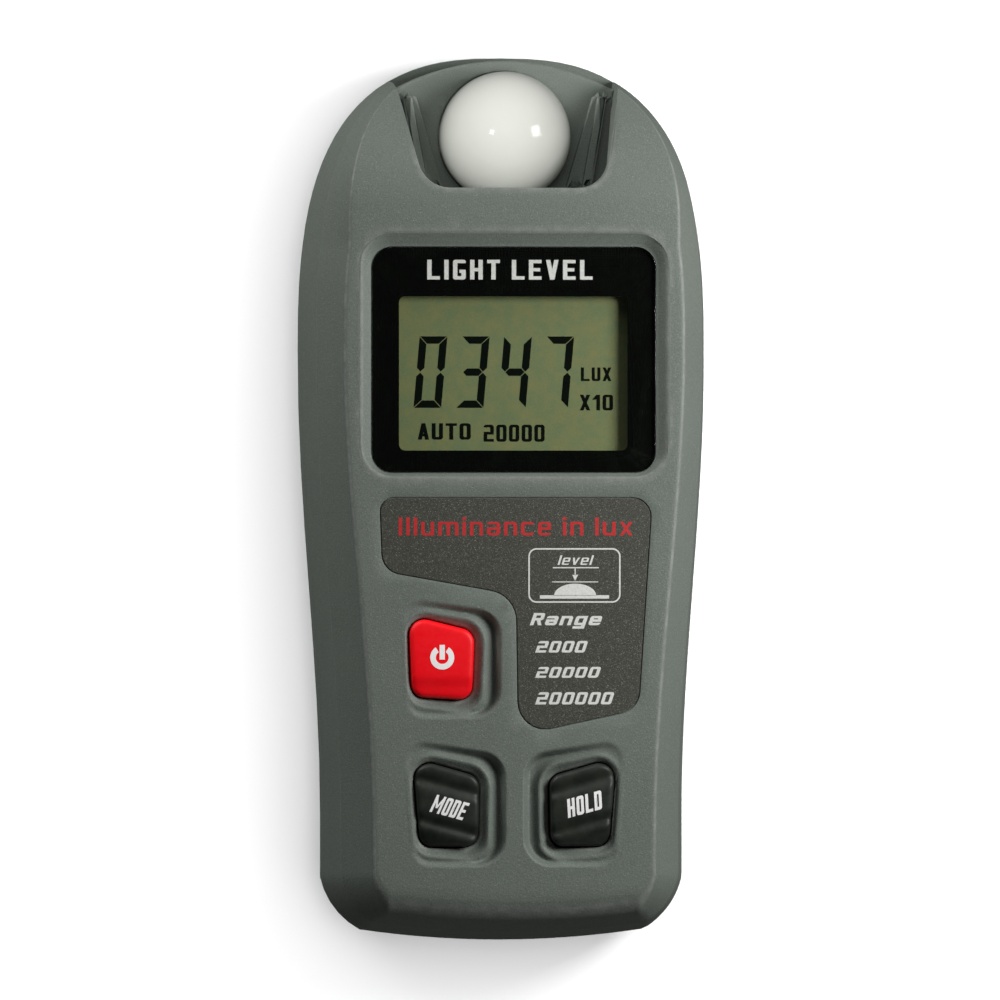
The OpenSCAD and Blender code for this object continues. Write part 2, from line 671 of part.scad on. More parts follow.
// Coil springs that push on the flat ends of the cells
module battery_springs() color("silver") {
    turns = 4;
    steps = 12;
    wire_r = 0.35;
    gap = 0.05 + wire_r;
    // Each spring's two ends: on its contact plate and on the flat end of its cell
    ends = [[-cell_pitch, bay_low + 0.4 + gap, cell_low - gap],
            [0, bay_high - 0.4 - gap, cell_low + cell_shift + cell_l + gap],
            [cell_pitch, bay_low + 0.4 + gap, cell_low - gap]];
    for (e = ends)
        wire([for (i = [0:turns * steps]) let (t = i / (turns * steps), r = 4.2 - 1.9 * t)
            [e[0] + r * cos(i * 360 / steps), lerp(e[1], e[2], t), cell_z + r * sin(i * 360 / steps)]],
            wire_r, 1, 6);
}

module battery_contacts() color([0.75, 0.72, 0.6]) {
    for (x = [-cell_pitch, 0, cell_pitch]) {
        translate([x - 4.6, bay_low, cell_z - 4.6]) cube([9.2, 0.4, 9.2]);
        translate([x - 4.2, bay_high - 0.4, cell_z - 4]) cube([8.4, 0.4, 8]);
    }
}

module battery_lead(s) {
    wire([[13.5 * s, bay_high + 0.1, 9], [13.5 * s, bay_high + 1.4, 9], [13.3 * s, bay_high + 4.4, 9.4],
          [11 * s, -3.2, 11.5], [8.6 * s, -1.6, 14], [8 * s, -1, 16], [8 * s, -1, 18]], 0.7);
}

module red_lead() color([0.75, 0.1, 0.1]) { battery_lead(1); }
module black_lead() color([0.08, 0.08, 0.08]) { battery_lead(-1); }

// ---- fasteners ----

module case_screws() color("silver") {
    for (at = case_screw_at) screw(at, 1.3, 16.5);
}

module board_screws() color("silver") {
    for (at = board_screw_at) screw(at, board_z - 1.3, 23);
}

module tripod_bush() color([0.8, 0.65, 0.35]) {
    difference() {
        boss([0, bush_y], bush_r, 0.1, bush_l);
        boss([0, bush_y], thread_r, -1, bush_l + 1);
    }
}

front_cover();
rear_cover();
battery_door();
sensor_seat();
diffuser_dome();
green_filter();
photodiode();
sensor_board();
sensor_screws();
sensor_lead();
display_window();
window_mask();
label_overlay();
lcd_polarizer();
lcd_glass();
lcd_reflector();
lcd_frame();
zebra_strips();
main_board();
mcu_chip();
opamp_chip();
crystal();
capacitors();
trimmers();
resistors();
keypad_mat();
power_key();
mode_key();
hold_key();
power_skirt();
mode_skirt();
hold_skirt();
power_pill();
mode_pill();
hold_pill();
cell_left();
cell_middle();
cell_right();
battery_springs();
battery_contacts();
red_lead();
black_lead();
case_screws();
board_screws();
tripod_bush();
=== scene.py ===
"""The looks of a handheld light meter lying on its back: X across, Y to the sensor, Z out of the face.

Shapes are worked out in millimetres, in the frame's own axes, and turned into metres when a piece is made.
"""
import math

import bmesh
import bpy
import numpy as np
from mathutils import Matrix, Vector
from mathutils.bvhtree import BVHTree
from mathutils.geometry import delaunay_2d_cdt


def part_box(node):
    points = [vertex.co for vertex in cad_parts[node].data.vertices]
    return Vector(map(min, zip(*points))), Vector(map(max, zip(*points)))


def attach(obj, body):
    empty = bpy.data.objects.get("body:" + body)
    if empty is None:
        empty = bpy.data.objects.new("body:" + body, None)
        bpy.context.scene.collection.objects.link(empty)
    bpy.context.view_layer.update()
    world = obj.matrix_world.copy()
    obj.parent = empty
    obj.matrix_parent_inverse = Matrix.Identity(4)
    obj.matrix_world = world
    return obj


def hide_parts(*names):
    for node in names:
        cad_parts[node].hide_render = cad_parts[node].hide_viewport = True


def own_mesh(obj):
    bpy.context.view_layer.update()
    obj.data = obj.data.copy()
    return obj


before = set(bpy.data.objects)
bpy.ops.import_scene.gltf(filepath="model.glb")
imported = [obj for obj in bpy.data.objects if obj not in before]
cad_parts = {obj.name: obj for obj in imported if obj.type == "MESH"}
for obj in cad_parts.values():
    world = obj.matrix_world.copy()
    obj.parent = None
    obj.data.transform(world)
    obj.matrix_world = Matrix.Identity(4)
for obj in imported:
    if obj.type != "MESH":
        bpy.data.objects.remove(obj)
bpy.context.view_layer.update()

MM = 0.001


def box_mm(node):
    """A node's lowest and highest corners, in millimetres."""
    low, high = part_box(node)
    return low / MM, high / MM


# ---- sizes that come from the frame ----

COVER_LOW, COVER_HIGH = box_mm("front_cover")
HALF_W = COVER_HIGH.x
HALF_L = box_mm("rear_cover")[1].y
FACE = COVER_HIGH.z
PARTING = COVER_LOW.z
WINDOW_LOW, WINDOW_HIGH = box_mm("display_window")
MASK_LOW, MASK_HIGH = box_mm("window_mask")
LABEL_TOP = box_mm("label_overlay")[1].z
DOME_LOW, DOME_HIGH = box_mm("diffuser_dome")
DOME_R = (DOME_HIGH.y - DOME_LOW.y) / 2
DOME_Y = (DOME_LOW.y + DOME_HIGH.y) / 2
SEAT_FOOT = box_mm("sensor_seat")[0].z
LCD_TOP = box_mm("lcd_polarizer")[1].z
KEY_LOW, KEY_HIGH = box_mm("power_key")
SKIRT_LOW, SKIRT_HIGH = box_mm("power_skirt")

# ---- sizes of the case ----

WALL = 2
INNER_TOP = FACE - WALL
# Where the nose starts, and how far it falls by the sensor end
NOSE_Y = 44
NOSE_DROP = 14.3
# The widest outline: shoulders of a rounded power curve, a waist, and an arc at each bottom corner
SHOULDER_L = 43
SHOULDER_POWER = 2.7
HALF_WAIST = 26.8
CORNER_R = 11.5
CORNER_UP = 11.7
CORNER_FROM = math.radians(12)
CORNER_TO = math.radians(62)
OUTLINE_STEP = 0.9
# How far the outer and the inner edge of the cover's rim stand above the parting line
RIM = 0.3
INNER_RIM = 0.25

# The face's features: corners as x, y and corner radius
MODE_CORNERS = [(-15, -37.9, 2.3), (-13.9, -50.9, 1.9), (-5.4, -50.9, 1.9), (-5.2, -40.7, 2.1)]
POWER_CORNERS = [(-15.6, -17, 2.2), (-15.1, -29, 2), (-6.3, -29.5, 2), (-5.9, -19.4, 2.2)]
MODE_WELL = [(-16.6, -34.9, 3), (-15.2, -54, 3), (-1.2, -54, 4.4), (-1.2, -37.4, 4)]
POWER_WELL = [(-17, -14.2, 3), (-16.2, -32.3, 3), (-1.9, -32.3, 4.4), (-1.9, -16.5, 4)]
LABEL_CORNERS = [(-19.8, 0.1, 1.9), (-19.4, -10.5, 3), (0.3, -14, 4.6), (0.6, -34.6, 4),
                 (18.2, -30.8, 3.4), (20.2, 0.1, 2.7)]
NOTCH_CORNERS = [(-17.8, 67, 0.1), (-13.2, 45.6, 4.6), (13.2, 45.6, 4.6), (17.8, 67, 0.1)]
KEY_GAP = 0.18
LABEL_SINK = 0.3
WINDOW_CORNER = 3
# The opening over the display: width, height, corner radius and middle in Y
APERTURE = (33.7, 22.6, 0.9, 18.4)
LEDGE_T = 1.4
SEAT_TOP = 13.4
SEAT_ARC_R = 33
# Where the coloured band of a cell's sleeve ends in Y
JACKET_BAND = -22
# Half the thickness of the ink on the label, on the keys and window, and in the display
INK_T = 0.012
THICK_INK_T = 0.02
LCD_INK_T = 0.008

# ---- values that materials and modifiers share ----

CASE_GREY = (0.14, 0.155, 0.143)
CASE_PALE = (0.148, 0.172, 0.149)
# CAD nodes that are smooth all over
ROUND_NODES = ("sensor_lead", "red_lead", "black_lead", "battery_springs")
WELD_GAP = 0.002
FLAT_ANGLE = math.radians(0.6)
EDGE_ANGLE = math.radians(32)
WORLD_STRENGTH = 0.022
FLOOR_HALF = 4


# ---- outlines ----

def corner_arc(before, at, after, radius, steps):
    """The rounded corner at a point between its neighbours."""
    p = Vector(at[:2])
    if radius < 1e-6:
        return [tuple(p)]
    u = (Vector(before[:2]) - p).normalized()
    w = (Vector(after[:2]) - p).normalized()
    half = math.acos(max(-1, min(1, u.dot(w)))) / 2
    centre = p + (u + w).normalized() * radius / math.sin(half)
    start = p + u * radius / math.tan(half) - centre
    end = p + w * radius / math.tan(half) - centre
    first = math.atan2(start.y, start.x)
    sweep = (math.atan2(end.y, end.x) - first + math.pi) % (2 * math.pi) - math.pi
    return [(centre.x + radius * math.cos(first + sweep * i / steps),
             centre.y + radius * math.sin(first + sweep * i / steps)) for i in range(steps + 1)]


def rounded(corners, steps=8, between=0):
    """A closed outline with a radius at each corner, and more points along each straight if asked."""
    n = len(corners)
    arcs = [corner_arc(corners[i - 1], c, corners[(i + 1) % n], c[2], steps) for i, c in enumerate(corners)]
    out = []
    for i, arc in enumerate(arcs):
        out += arc
        a = Vector(arc[-1])
        b = Vector(arcs[(i + 1) % n][0])
        out += [tuple(a.lerp(b, k / (between + 1))) for k in range(1, between + 1)]
    return out


def blended(a, b, t):
    """An outline between two others with the same number of points."""
    return [tuple(Vector(p).lerp(Vector(q), t)) for p, q in zip(a, b)]


def grown(corners, d):
    """The same counter-clockwise corners moved out by d, with their radii grown to suit."""
    out = []
    n = len(corners)
    for i, b in enumerate(corners):
        e = (Vector(b[:2]) - Vector(corners[i - 1][:2])).normalized()
        f = (Vector(corners[(i + 1) % n][:2]) - Vector(b[:2])).normalized()
        shift = Vector((e.y + f.y, -e.x - f.x)) * d / (1 + e.dot(f))
        convex = e.x * f.y - e.y * f.x > 0
        radius = max(0.0 if b[2] == 0 else 0.05, b[2] + (d if convex else -d))
        out.append((b[0] + shift.x, b[1] + shift.y, 0 if b[2] == 0 else radius))
    return out


def around(corners, d, steps=8, between=0):
    """The rounded outline of the corners moved out by d."""
    return rounded(grown(corners, d), steps, between)


def mirrored(corners):
    return [(-x, y, r) for x, y, r in reversed(corners)]


def rectangle(w, h, r, x=0, y=0):
    return [(x - w / 2, y + h / 2, r), (x - w / 2, y - h / 2, r),
            (x + w / 2, y - h / 2, r), (x + w / 2, y + h / 2, r)]


def circle(r, x=0, y=0, steps=96):
    return [(x + r * math.cos(2 * math.pi * i / steps), y + r * math.sin(2 * math.pi * i / steps))
            for i in range(steps)]


def box_of(node, r):
    """A node's own plan as corners."""
    low, high = box_mm(node)
    return rectangle(high.x - low.x, high.y - low.y, r, (low.x + high.x) / 2, (low.y + high.y) / 2)


HOLD_CORNERS = mirrored(MODE_CORNERS)
HOLD_WELL = mirrored(MODE_WELL)
WINDOW_CORNERS = box_of("display_window", WINDOW_CORNER)
# The frame round the window leaves a wider slope above it than below it
RECESS_CORNERS = rectangle(45, 35.8, 4.6, 0, (WINDOW_LOW.y + WINDOW_HIGH.y) / 2 + 0.7)


def inside(points, outline):
    """Which points lie inside a closed outline."""
    a = np.array(outline)
    b = np.roll(a, -1, 0)
    found = np.zeros(len(points), bool)
    near = np.all((points >= a.min(0)) & (points <= a.max(0)), axis=1)
    x = points[near, 0][:, None]
    y = points[near, 1][:, None]
    if not len(x):
        return found
    rise = np.where(b[:, 1] == a[:, 1], 1, b[:, 1] - a[:, 1])
    spans = (a[:, 1] > y) != (b[:, 1] > y)
    found[near] = (spans & (x < a[:, 0] + (y - a[:, 1]) * (b[:, 0] - a[:, 0]) / rise)).sum(1) % 2 == 1
    return found


def distance(points, outline):
    """How far points lie from a closed outline."""
    a = np.array(outline)
    along = np.roll(a, -1, 0) - a
    length = np.maximum((along ** 2).sum(1), 1e-12)
    out = np.empty(len(points))
    for k in range(0, len(points), 4000):
        gap = points[k:k + 4000, None] - a
        t = np.clip((gap * along).sum(2) / length, 0, 1)
        out[k:k + 4000] = np.sqrt(((gap - t[..., None] * along) ** 2).sum(2)).min(1)
    return out


def smooth(t):
    t = np.clip(t, 0, 1)
    return t * t * (3 - 2 * t)


def grid(low, high, step):
    xs = np.arange(low[0], high[0], step)
    ys = np.arange(low[1], high[1], step)
    return np.array(np.meshgrid(xs, ys)).reshape(2, -1).T


# ---- meshes ----

class Build:
    """The vertices and faces of one piece, in millimetres."""

    def __init__(self):
        self.points = []
        self.faces = []

    def ring(self, points):
        start = len(self.points)
        self.points += [tuple(map(float, p)) for p in points]
        return list(range(start, len(self.points)))

    def strip(self, a, b):
        for i in range(len(a)):
            j = (i + 1) % len(a)
            self.faces.append((a[i], a[j], b[j], b[i]))

    def loft(self, rings, closed=False):
        """Joins rings of equal length. The ends are capped unless it is closed round on itself."""
        made = [self.ring(r) for r in rings]
        for a, b in zip(made, made[1:] + made[:1] if closed else made[1:]):
            self.strip(a, b)
        if not closed:
            self.faces += [tuple(made[0]), tuple(made[-1])]

    def prism(self, corners, levels, steps=8):
        """A closed solid through (grow, z) levels of one outline."""
        self.loft([[(x, y, z) for x, y in around(corners, g, steps)] for g, z in levels])

    def lathe(self, profile, x, y, steps=96):
        """A closed profile of (radius, z) turned round an upright axis, to a point where the radius is 0."""
        rings = []
        for r, z in profile:
            flat = [(x, y)] if r == 0 else circle(r, x, y, steps)
            rings.append(self.ring([(px, py, z) for px, py in flat]))
        for a, b in zip(rings, rings[1:] + rings[:1]):
            if len(a) == 1 and len(b) == 1:
                continue
            if len(a) == 1 or len(b) == 1:
                tip, rim = (a, b) if len(a) == 1 else (b, a)
                self.faces += [(tip[0], rim[i], rim[(i + 1) % steps]) for i in range(steps)]
            else:
                self.strip(a, b)


def piece(name, build, body, look, stands_for=(), slot=None, sharp=35, wear_and_highlight=None):
    """Makes a piece that rides on a body."""
    mesh = bpy.data.meshes.new(name)
    mesh.from_pydata([[c * MM for c in p] for p in build.points], [], build.faces)
    # Marked edges are painted paler in the material: rubbed wear and a painted highlight line.
    if wear_and_highlight is not None:
        mesh.attributes.new("wear_and_highlight", "FLOAT", "POINT").data.foreach_set("value", wear_and_highlight)
    bm = bmesh.new()
    bm.from_mesh(mesh)
    bmesh.ops.recalc_face_normals(bm, faces=bm.faces)
    bm.to_mesh(mesh)
    bm.free()
    mesh.shade_smooth()
    mesh.set_sharp_from_angle(angle=math.radians(sharp))
    obj = bpy.data.objects.new(name, mesh)
    bpy.context.collection.objects.link(obj)
    mesh.materials.append(look)
    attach(obj, body)
    if stands_for:
        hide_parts(*stands_for)
    return obj


def triangulate(loops, loose, epsilon):
    """Points, triangles that follow closed outlines, and the number of each point's outline, or -1."""
    flat, edges, source = [], [], []
    for k, loop in enumerate(loops):
        start = len(flat)
        flat += [Vector(p[:2]) for p in loop]
        source += [k] * len(loop)
        edges += [(start + i, start + (i + 1) % len(loop)) for i in range(len(loop))]
    flat += [Vector(p) for p in loose]
    source += [-1] * len(loose)
    found = delaunay_2d_cdt(flat, edges, [], 0, epsilon, True)
    xy = np.array([tuple(v) for v in found[0]])
    triangles = np.array([tuple(f) for f in found[2]])
    return xy, triangles, np.array([max(source[i] for i in o) if o else -1 for o in found[3]])


def height_solid(loops, loose, keep, top, bottom):
    """A closed solid over a region of the plane, between two height functions.

    Loops are closed outlines that edges follow. keep says which middles of triangles belong to it.
    top and bottom get the points and the number of the loop that each came from, or -1.
    """
    xy, triangles, origin = triangulate(loops, loose, 1e-5)
    triangles = triangles[keep(xy[triangles].mean(axis=1))]
    used, triangles = np.unique(triangles, return_inverse=True)
    triangles = triangles.reshape(-1, 3)
    xy = xy[used]
    origin = origin[used]
    n = len(xy)
    z = [top(xy, origin), bottom(xy, origin)]
    build = Build()
    for k in range(2):
        build.points += [tuple(p) for p in np.column_stack([xy, z[k]]).tolist()]
    build.faces = [tuple(t) for t in triangles.tolist() + (triangles[:, ::-1] + n).tolist()]
    sides = np.concatenate([triangles[:, [0, 1]], triangles[:, [1, 2]], triangles[:, [2, 0]]])
    known = set(map(tuple, sides.tolist()))
    build.faces += [(b, a, a + n, b + n) for a, b in sides.tolist() if (b, a) not in known]
    return build, xy, origin


# ---- the case's surface ----

def nose(y):
    """How much of its height above the parting line the case keeps near the sensor end."""
    share = np.maximum(0, y - NOSE_Y) / (HALF_L - NOSE_Y)
    return 1 - NOSE_DROP / (FACE - PARTING) * share ** 2


def bevel_scale(y):
    """How wide the side bevel is along the case, as a share of its width at y 20."""
    return np.where(y > 20, 1 - 0.8 * np.clip((y - 38) / 24, 0, 1), 1 + 0.22 * np.clip((20 - y) / 75, 0, 1))


def half_outline():
    """The right half of the widest outline, from the sensor end round to the bottom end, evenly spaced."""
    shoulder_y = HALF_L - SHOULDER_L
    a = np.linspace(math.pi / 2, 0, 400)
    power = 2 / SHOULDER_POWER
    shoulder = np.column_stack([HALF_W * np.abs(np.cos(a)) ** power,
                                shoulder_y + SHOULDER_L * np.sin(a) ** power])
    centre = Vector((HALF_WAIST - CORNER_R * math.cos(CORNER_FROM), CORNER_UP - HALF_L))
    y = np.linspace(shoulder_y, centre.y - CORNER_R * math.sin(CORNER_FROM), 200)
    side = np.column_stack([HALF_WAIST + (HALF_W - HALF_WAIST) * smooth((y + 46) / 66), y])
    a = np.linspace(CORNER_FROM, CORNER_TO, 60)
    corner = np.column_stack([centre.x + CORNER_R * np.cos(a), centre.y - CORNER_R * np.sin(a)])
    x = np.linspace(corner[-1, 0], 0, 200)
    end = np.column_stack([x, -HALF_L + (corner[-1, 1] + HALF_L) * (x / corner[-1, 0]) ** 2])
    dense = np.concatenate([shoulder, side[1:], corner[1:], end[1:]])
    run = np.concatenate([[0], np.cumsum(np.linalg.norm(np.diff(dense, axis=0), axis=1))])
    at = np.linspace(0, run[-1], int(run[-1] / OUTLINE_STEP) + 1)
    return np.column_stack([np.interp(at, run, dense[:, k]) for k in range(2)])


HALF = half_outline()
HALF[0, 0] = HALF[-1, 0] = 0
OUTLINE = np.concatenate([HALF, HALF[-2:0:-1] * [-1, 1]])
RING_N = len(OUTLINE)


def unit(vectors):
    return vectors / np.linalg.norm(vectors, axis=1)[:, None]


def outward(outline):
    """The outward directions along the outline, spread near the bottom end so that no crease shows there."""
    along = unit(np.roll(outline, -1, 0) - np.roll(outline, 1, 0))
    normals = np.column_stack([-along[:, 1], along[:, 0]])
    spread = unit(sum(np.roll(normals, k, 0) * (7 - abs(k)) for k in range(-6, 7)))
    low = smooth((-36 - outline[:, 1]) / 12)[:, None]
    return unit(normals * (1 - low) + spread * low)


NORMALS = outward(OUTLINE)


def case_ring(side, bottom, z_side, z_bottom, extra=0, drop=0):
    """One ring of the case: insets and heights at the sides and at the bottom end."""
    y = OUTLINE[:, 1]
    s = (side - extra) * bevel_scale(y)
    down = NORMALS[:, 1] < 0
    move = np.column_stack([NORMALS[:, 0] * s, NORMALS[:, 1] * np.where(down, bottom - extra, s)])
    share = np.where(down, NORMALS[:, 1] ** 2, 0)
    z = z_side * (1 - share) + z_bottom * share
    z = PARTING + (z - PARTING) * nose(y) - drop
    return np.column_stack([OUTLINE - move - NORMALS * extra, z])


def open_path(corners, steps=5):
    """A path of (inset, z) that turns with a radius at each inner corner, without its last point."""
    out = [corners[0][:2]]
    for i in range(1, len(corners) - 1):
        out += corner_arc(corners[i - 1], corners[i], corners[i + 1], corners[i][2], steps)
    return out


# Outer section at the sides and at the bottom end, as inset, height and radius
SIDE_SECTION = [(0, PARTING + RIM), (0.6, 14.5, 8), (1.58, 21, 1.4), (5.0, FACE, 0.9), (9, FACE)]
BOTTOM_SECTION = [(0.02, PARTING + RIM), (0.25, 14.5, 8), (1.42, 21, 1.4), (3.8, FACE, 4.2), (12, FACE)]
OUTER = [case_ring(side[0], end[0], side[1], end[1])
         for side, end in zip(open_path(SIDE_SECTION), open_path(BOTTOM_SECTION))]
# The rings along the two edges of the bevel, painted paler: rubbed patches and a painted highlight line
WORN_HIGHLIGHT_RINGS = (9, 15, 16)
# Rings of the inside: insets and heights at the sides and at the bottom end, wall and drop
LINING = [case_ring(0, 0.02, PARTING + INNER_RIM, PARTING + INNER_RIM), case_ring(0.25, 0.25, PARTING, PARTING),
          case_ring(2.25, 2.25, PARTING, PARTING, WALL), case_ring(3.5, 3.4, 20.6, 20.6, WALL, 0.6),
          case_ring(6.1, 6.2, 26.6, 26.6, WALL, 0.8), case_ring(7, 8, FACE, FACE, WALL, WALL)]


def surface(rings):
    """A tree to look heights up in, from rings and flat strips across the last one."""
    points = [Vector(p) for r in rings for p in r.tolist()]
    faces = []
    for k in range(len(rings) - 1):
        for i in range(RING_N):
            j = (i + 1) % RING_N
            faces.append((k * RING_N + i, k * RING_N + j, (k + 1) * RING_N + j, (k + 1) * RING_N + i))
    last = (len(rings) - 1) * RING_N
    for i in range(len(HALF) - 1):
        left = [last + (RING_N - k) % RING_N for k in (i, i + 1)]
        strip = [last + i, last + i + 1, left[1], left[0]]
        faces.append(tuple(dict.fromkeys(strip)))
    return BVHTree.FromPolygons(points, faces)


OUTER_TREE = surface(OUTER)
LINING_TREE = surface(LINING)


def look_up(tree, xy, upward, default):
    """Heights of a surface over points, or default beyond its edge."""
    start, way = (-50, Vector((0, 0, 1))) if upward else (90, Vector((0, 0, -1)))
    out = np.empty(len(xy))
    for i, (x, y) in enumerate(xy.tolist()):
        hit = tree.ray_cast(Vector((x, y, start)), way)[0]
        if hit is None:
            hit = tree.ray_cast(Vector((x * 0.9999, y * 0.9999, start)), way)[0]
        out[i] = default[i] if hit is None else hit.z
    return out


def outer_height(xy):
    return look_up(OUTER_TREE, xy, False, PARTING + RIM * nose(xy[:, 1]))


def lining_height(xy):
    return look_up(LINING_TREE, xy, True, PARTING + INNER_RIM * nose(xy[:, 1]))


# ---- front cover ----

def well_drop(xy, corners, well, side):
    """How far a scooped well lowers the face: a wall, a sloping floor and a bowl with a rim at the hole."""
    outline = rounded(well)
    hole = around(corners, KEY_GAP)
    low = np.zeros(len(xy))
    near = inside(xy, outline) | (distance(xy, hole) < 0.7)
    p = xy[near]
    floor = np.clip(1.6 + 0.105 * (p[:, 0] * -side + 1.7), 0, 1.45)
    wall = smooth(distance(p, outline) / 1.1) * inside(p, outline)
    from_hole = distance(p, hole)
    foot = min(c[1] for c in corners)
    below = smooth((foot + 1.5 - p[:, 1]) / 2.2)
    crest_at = 0.5 + 0.85 * np.minimum(floor, 1.1) + 0.45 * below
    crest = floor * (0.55 - 0.1 * below)
    bowl = 0.3 + 0.45 * floor + 0.3 * below
    rising = crest - bowl * (1 - smooth(from_hole / crest_at))
    falling = crest * np.exp(-((from_hole - crest_at) / 0.55) ** 2)
    low[near] = floor * wall - np.where(from_hole < crest_at, rising, falling)
    return low


KEYS = [(MODE_CORNERS, MODE_WELL, -1), (POWER_CORNERS, POWER_WELL, -1), (HOLD_CORNERS, HOLD_WELL, 1)]

BOSS_BORE_R = 1.2
# Screw bosses under the front cover: x, y, radius, lower and upper end
BOSSES = [(side * x, y, r, low, high) for x, y, r, low, high in (
    (19.5, 43.5, 2.7, PARTING + RIM, INNER_TOP), (21.1, -49.5, 2.7, PARTING + RIM, 19.6),
    (19.8, -4.8, 2.3, 18.6, INNER_TOP), (19.9, -31.5, 2.3, 18.6, INNER_TOP)) for side in (-1, 1)]


def fillet_drops(radius, steps=3):
    """Distances from an edge and how far a rounded edge falls there."""
    return [(radius * (1 - math.cos(a)), radius * (1 - math.sin(a)))
            for a in [math.pi / 2 * i / steps for i in range(steps + 1)]]


def front_cover(look):
    """The front shell, with its notch, window recess, label recess and key wells.

    Each loop has how far the outside drops there, a lowest height for the inside and how much its edge is
    painted paler, as rubbed wear and as a painted highlight line.
    """
    loops, drops, floors, loop_wear_and_highlight = [], [], [], []

    def add(points, drop=0.0, floor=None, wear_and_highlight=0.0):
        loops.append(points)
        drops.append(drop)
        floors.append(floor)
        loop_wear_and_highlight.append(wear_and_highlight)

    # Loops marked here get a paler edge: rubbed patches and a painted highlight line on bevels, fillets and the
    # window slope.
    for k, ring in enumerate(OUTER):
        add(ring[:, :2].tolist(), wear_and_highlight=float(k in WORN_HIGHLIGHT_RINGS))
    for ring in LINING[1:]:
        add(ring[:, :2].tolist())
    for corners, well, side in KEYS:
        for d, drop in fillet_drops(0.35):
            add(around(corners, KEY_GAP + d, between=20), drop, wear_and_highlight=0.8)
        for d in (0.6, 0.9, 1.25, 1.6):
            add(around(corners, KEY_GAP + d, between=20))
        for d in (0.05, -0.2, -0.55, -0.9, -1.2):
            add(around(well, d, between=24))
    for d, drop in fillet_drops(0.3):
        add(around(NOTCH_CORNERS, d), drop, wear_and_highlight=0.8)
    for d in (1.0, 1.04):
        add(around(NOTCH_CORNERS, d, between=20))
    for d, drop in fillet_drops(0.12, 2):
        add(around(LABEL_CORNERS, 0.15 + d), drop)
    add(around(LABEL_CORNERS, 0.12), LABEL_SINK)
    # Slope, seat and opening of the window
    sill = FACE - WINDOW_HIGH.z + 0.15
    ledge = FACE - MASK_LOW.z
    for d, drop in [(0.45, 0), (0.25, 0.012), (0.1, 0.05), (-0.05, 0.12)]:
        add(around(RECESS_CORNERS, d, between=7), drop, wear_and_highlight=0.7)
    edge = around(RECESS_CORNERS, -0.05, between=7)
    foot = around(WINDOW_CORNERS, 0.2, between=7)
    for t in (0.25, 0.5, 0.75, 1):
        add(blended(edge, foot, t), 0.12 + (sill - 0.12) * t)
    add(around(WINDOW_CORNERS, 0.12, between=7), sill)
    add(around(WINDOW_CORNERS, 0.09, between=7), ledge)
    add(around(WINDOW_CORNERS, 2.02), sill / 2, INNER_TOP)
    drops[-1] = None
    add(around(WINDOW_CORNERS, 1.98), None, MASK_LOW.z - LEDGE_T)
    w, h, r, y = APERTURE
    opening = rectangle(w + 1.6, h + 1.6, r + 0.6, 0, y)
    add(rounded(opening), ledge, MASK_LOW.z - LEDGE_T)

    label = around(LABEL_CORNERS, 0.13)
    recess = rounded(RECESS_CORNERS)
    plate = around(WINDOW_CORNERS, 0.1)
    block = around(WINDOW_CORNERS, 2)
    hole = rounded(opening)
    notch = rounded(NOTCH_CORNERS)
    notch_wall = around(NOTCH_CORNERS, 1.02)
    key_holes = [around(c, KEY_GAP) for c, _, _ in KEYS]
    outer_edge = OUTER[0][:, :2].tolist()

    loose = [grid((-22, NOSE_Y - 1), (22, HALF_L), 1.1), grid((-26, -62), (26, NOSE_Y), 3.1)]
    for corners, well, side in KEYS:
        a = np.array(around(well, 0.4))
        fine = grid(a.min(0), a.max(0), 0.33)
        loose.append(fine[inside(fine, a) & ~inside(fine, around(corners, 0.75))])
    loose = np.concatenate(loose)
    for outline in (label, recess, plate, block, hole, notch):
        loose = loose[distance(loose, outline) > 0.45]
    loose = loose[inside(loose, OUTER[-1][:, :2].tolist())]

    def keep(mid):
        out = inside(mid, outer_edge) & ~inside(mid, notch) & ~inside(mid, hole)
        for key_hole in key_holes:
            out &= ~inside(mid, key_hole)
        return out

    # By loop, with nan where a loop sets nothing, and a last value for the loose points
    drop_of = np.array([*drops, 0], float)
    floor_of = np.array([*floors, np.nan], float)

    def top(xy, origin):
        z = outer_height(xy)
        given = drop_of[origin]
        in_plate = inside(xy, plate)
        ramp_in = distance(xy, plate)
        ramp = sill * distance(xy, recess) / (distance(xy, recess) + ramp_in + 1e-9)
        deep = np.where(in_plate, ledge, np.where(inside(xy, recess), ramp, 0))
        deep = np.where(inside(xy, label), LABEL_SINK, deep)
        plain = (origin < 0) | np.isnan(given) | (given == 0)
        z -= np.where(plain, deep, given)
        for corners, well, side in KEYS:
            z -= well_drop(xy, corners, well, side)
        return z

    def bottom(xy, origin):
        z = lining_height(xy)
        z = np.where(inside(xy, block), np.minimum(z, MASK_LOW.z - LEDGE_T), z)
        # The wall of the notch reaches down to the seat near the sensor end
        reach = smooth((xy[:, 1] - 50) / 4)
        z = np.where(inside(xy, notch_wall), z + (np.minimum(z, SEAT_TOP + 0.1) - z) * reach, z)
        given = floor_of[origin]
        z = np.where(np.isnan(given), z, np.minimum(given, z))
        return z

    build, xy, origin = height_solid(loops, loose, keep, top, bottom)
    wear_and_highlight = np.array(loop_wear_and_highlight + [0.0])[origin]
    for x, y, r, low, high in BOSSES:
        build.lathe([(r, low), (r, high), (BOSS_BORE_R, high), (BOSS_BORE_R, low)], x, y, 32)
    wear_and_highlight = np.concatenate([wear_and_highlight, wear_and_highlight * 0, np.zeros(len(build.points) - 2 * len(xy))])
    return piece("front_cover_shell", build, "case", look, ["front_cover"], "case_plastic", 40, wear_and_highlight)


# ---- sensor end ----

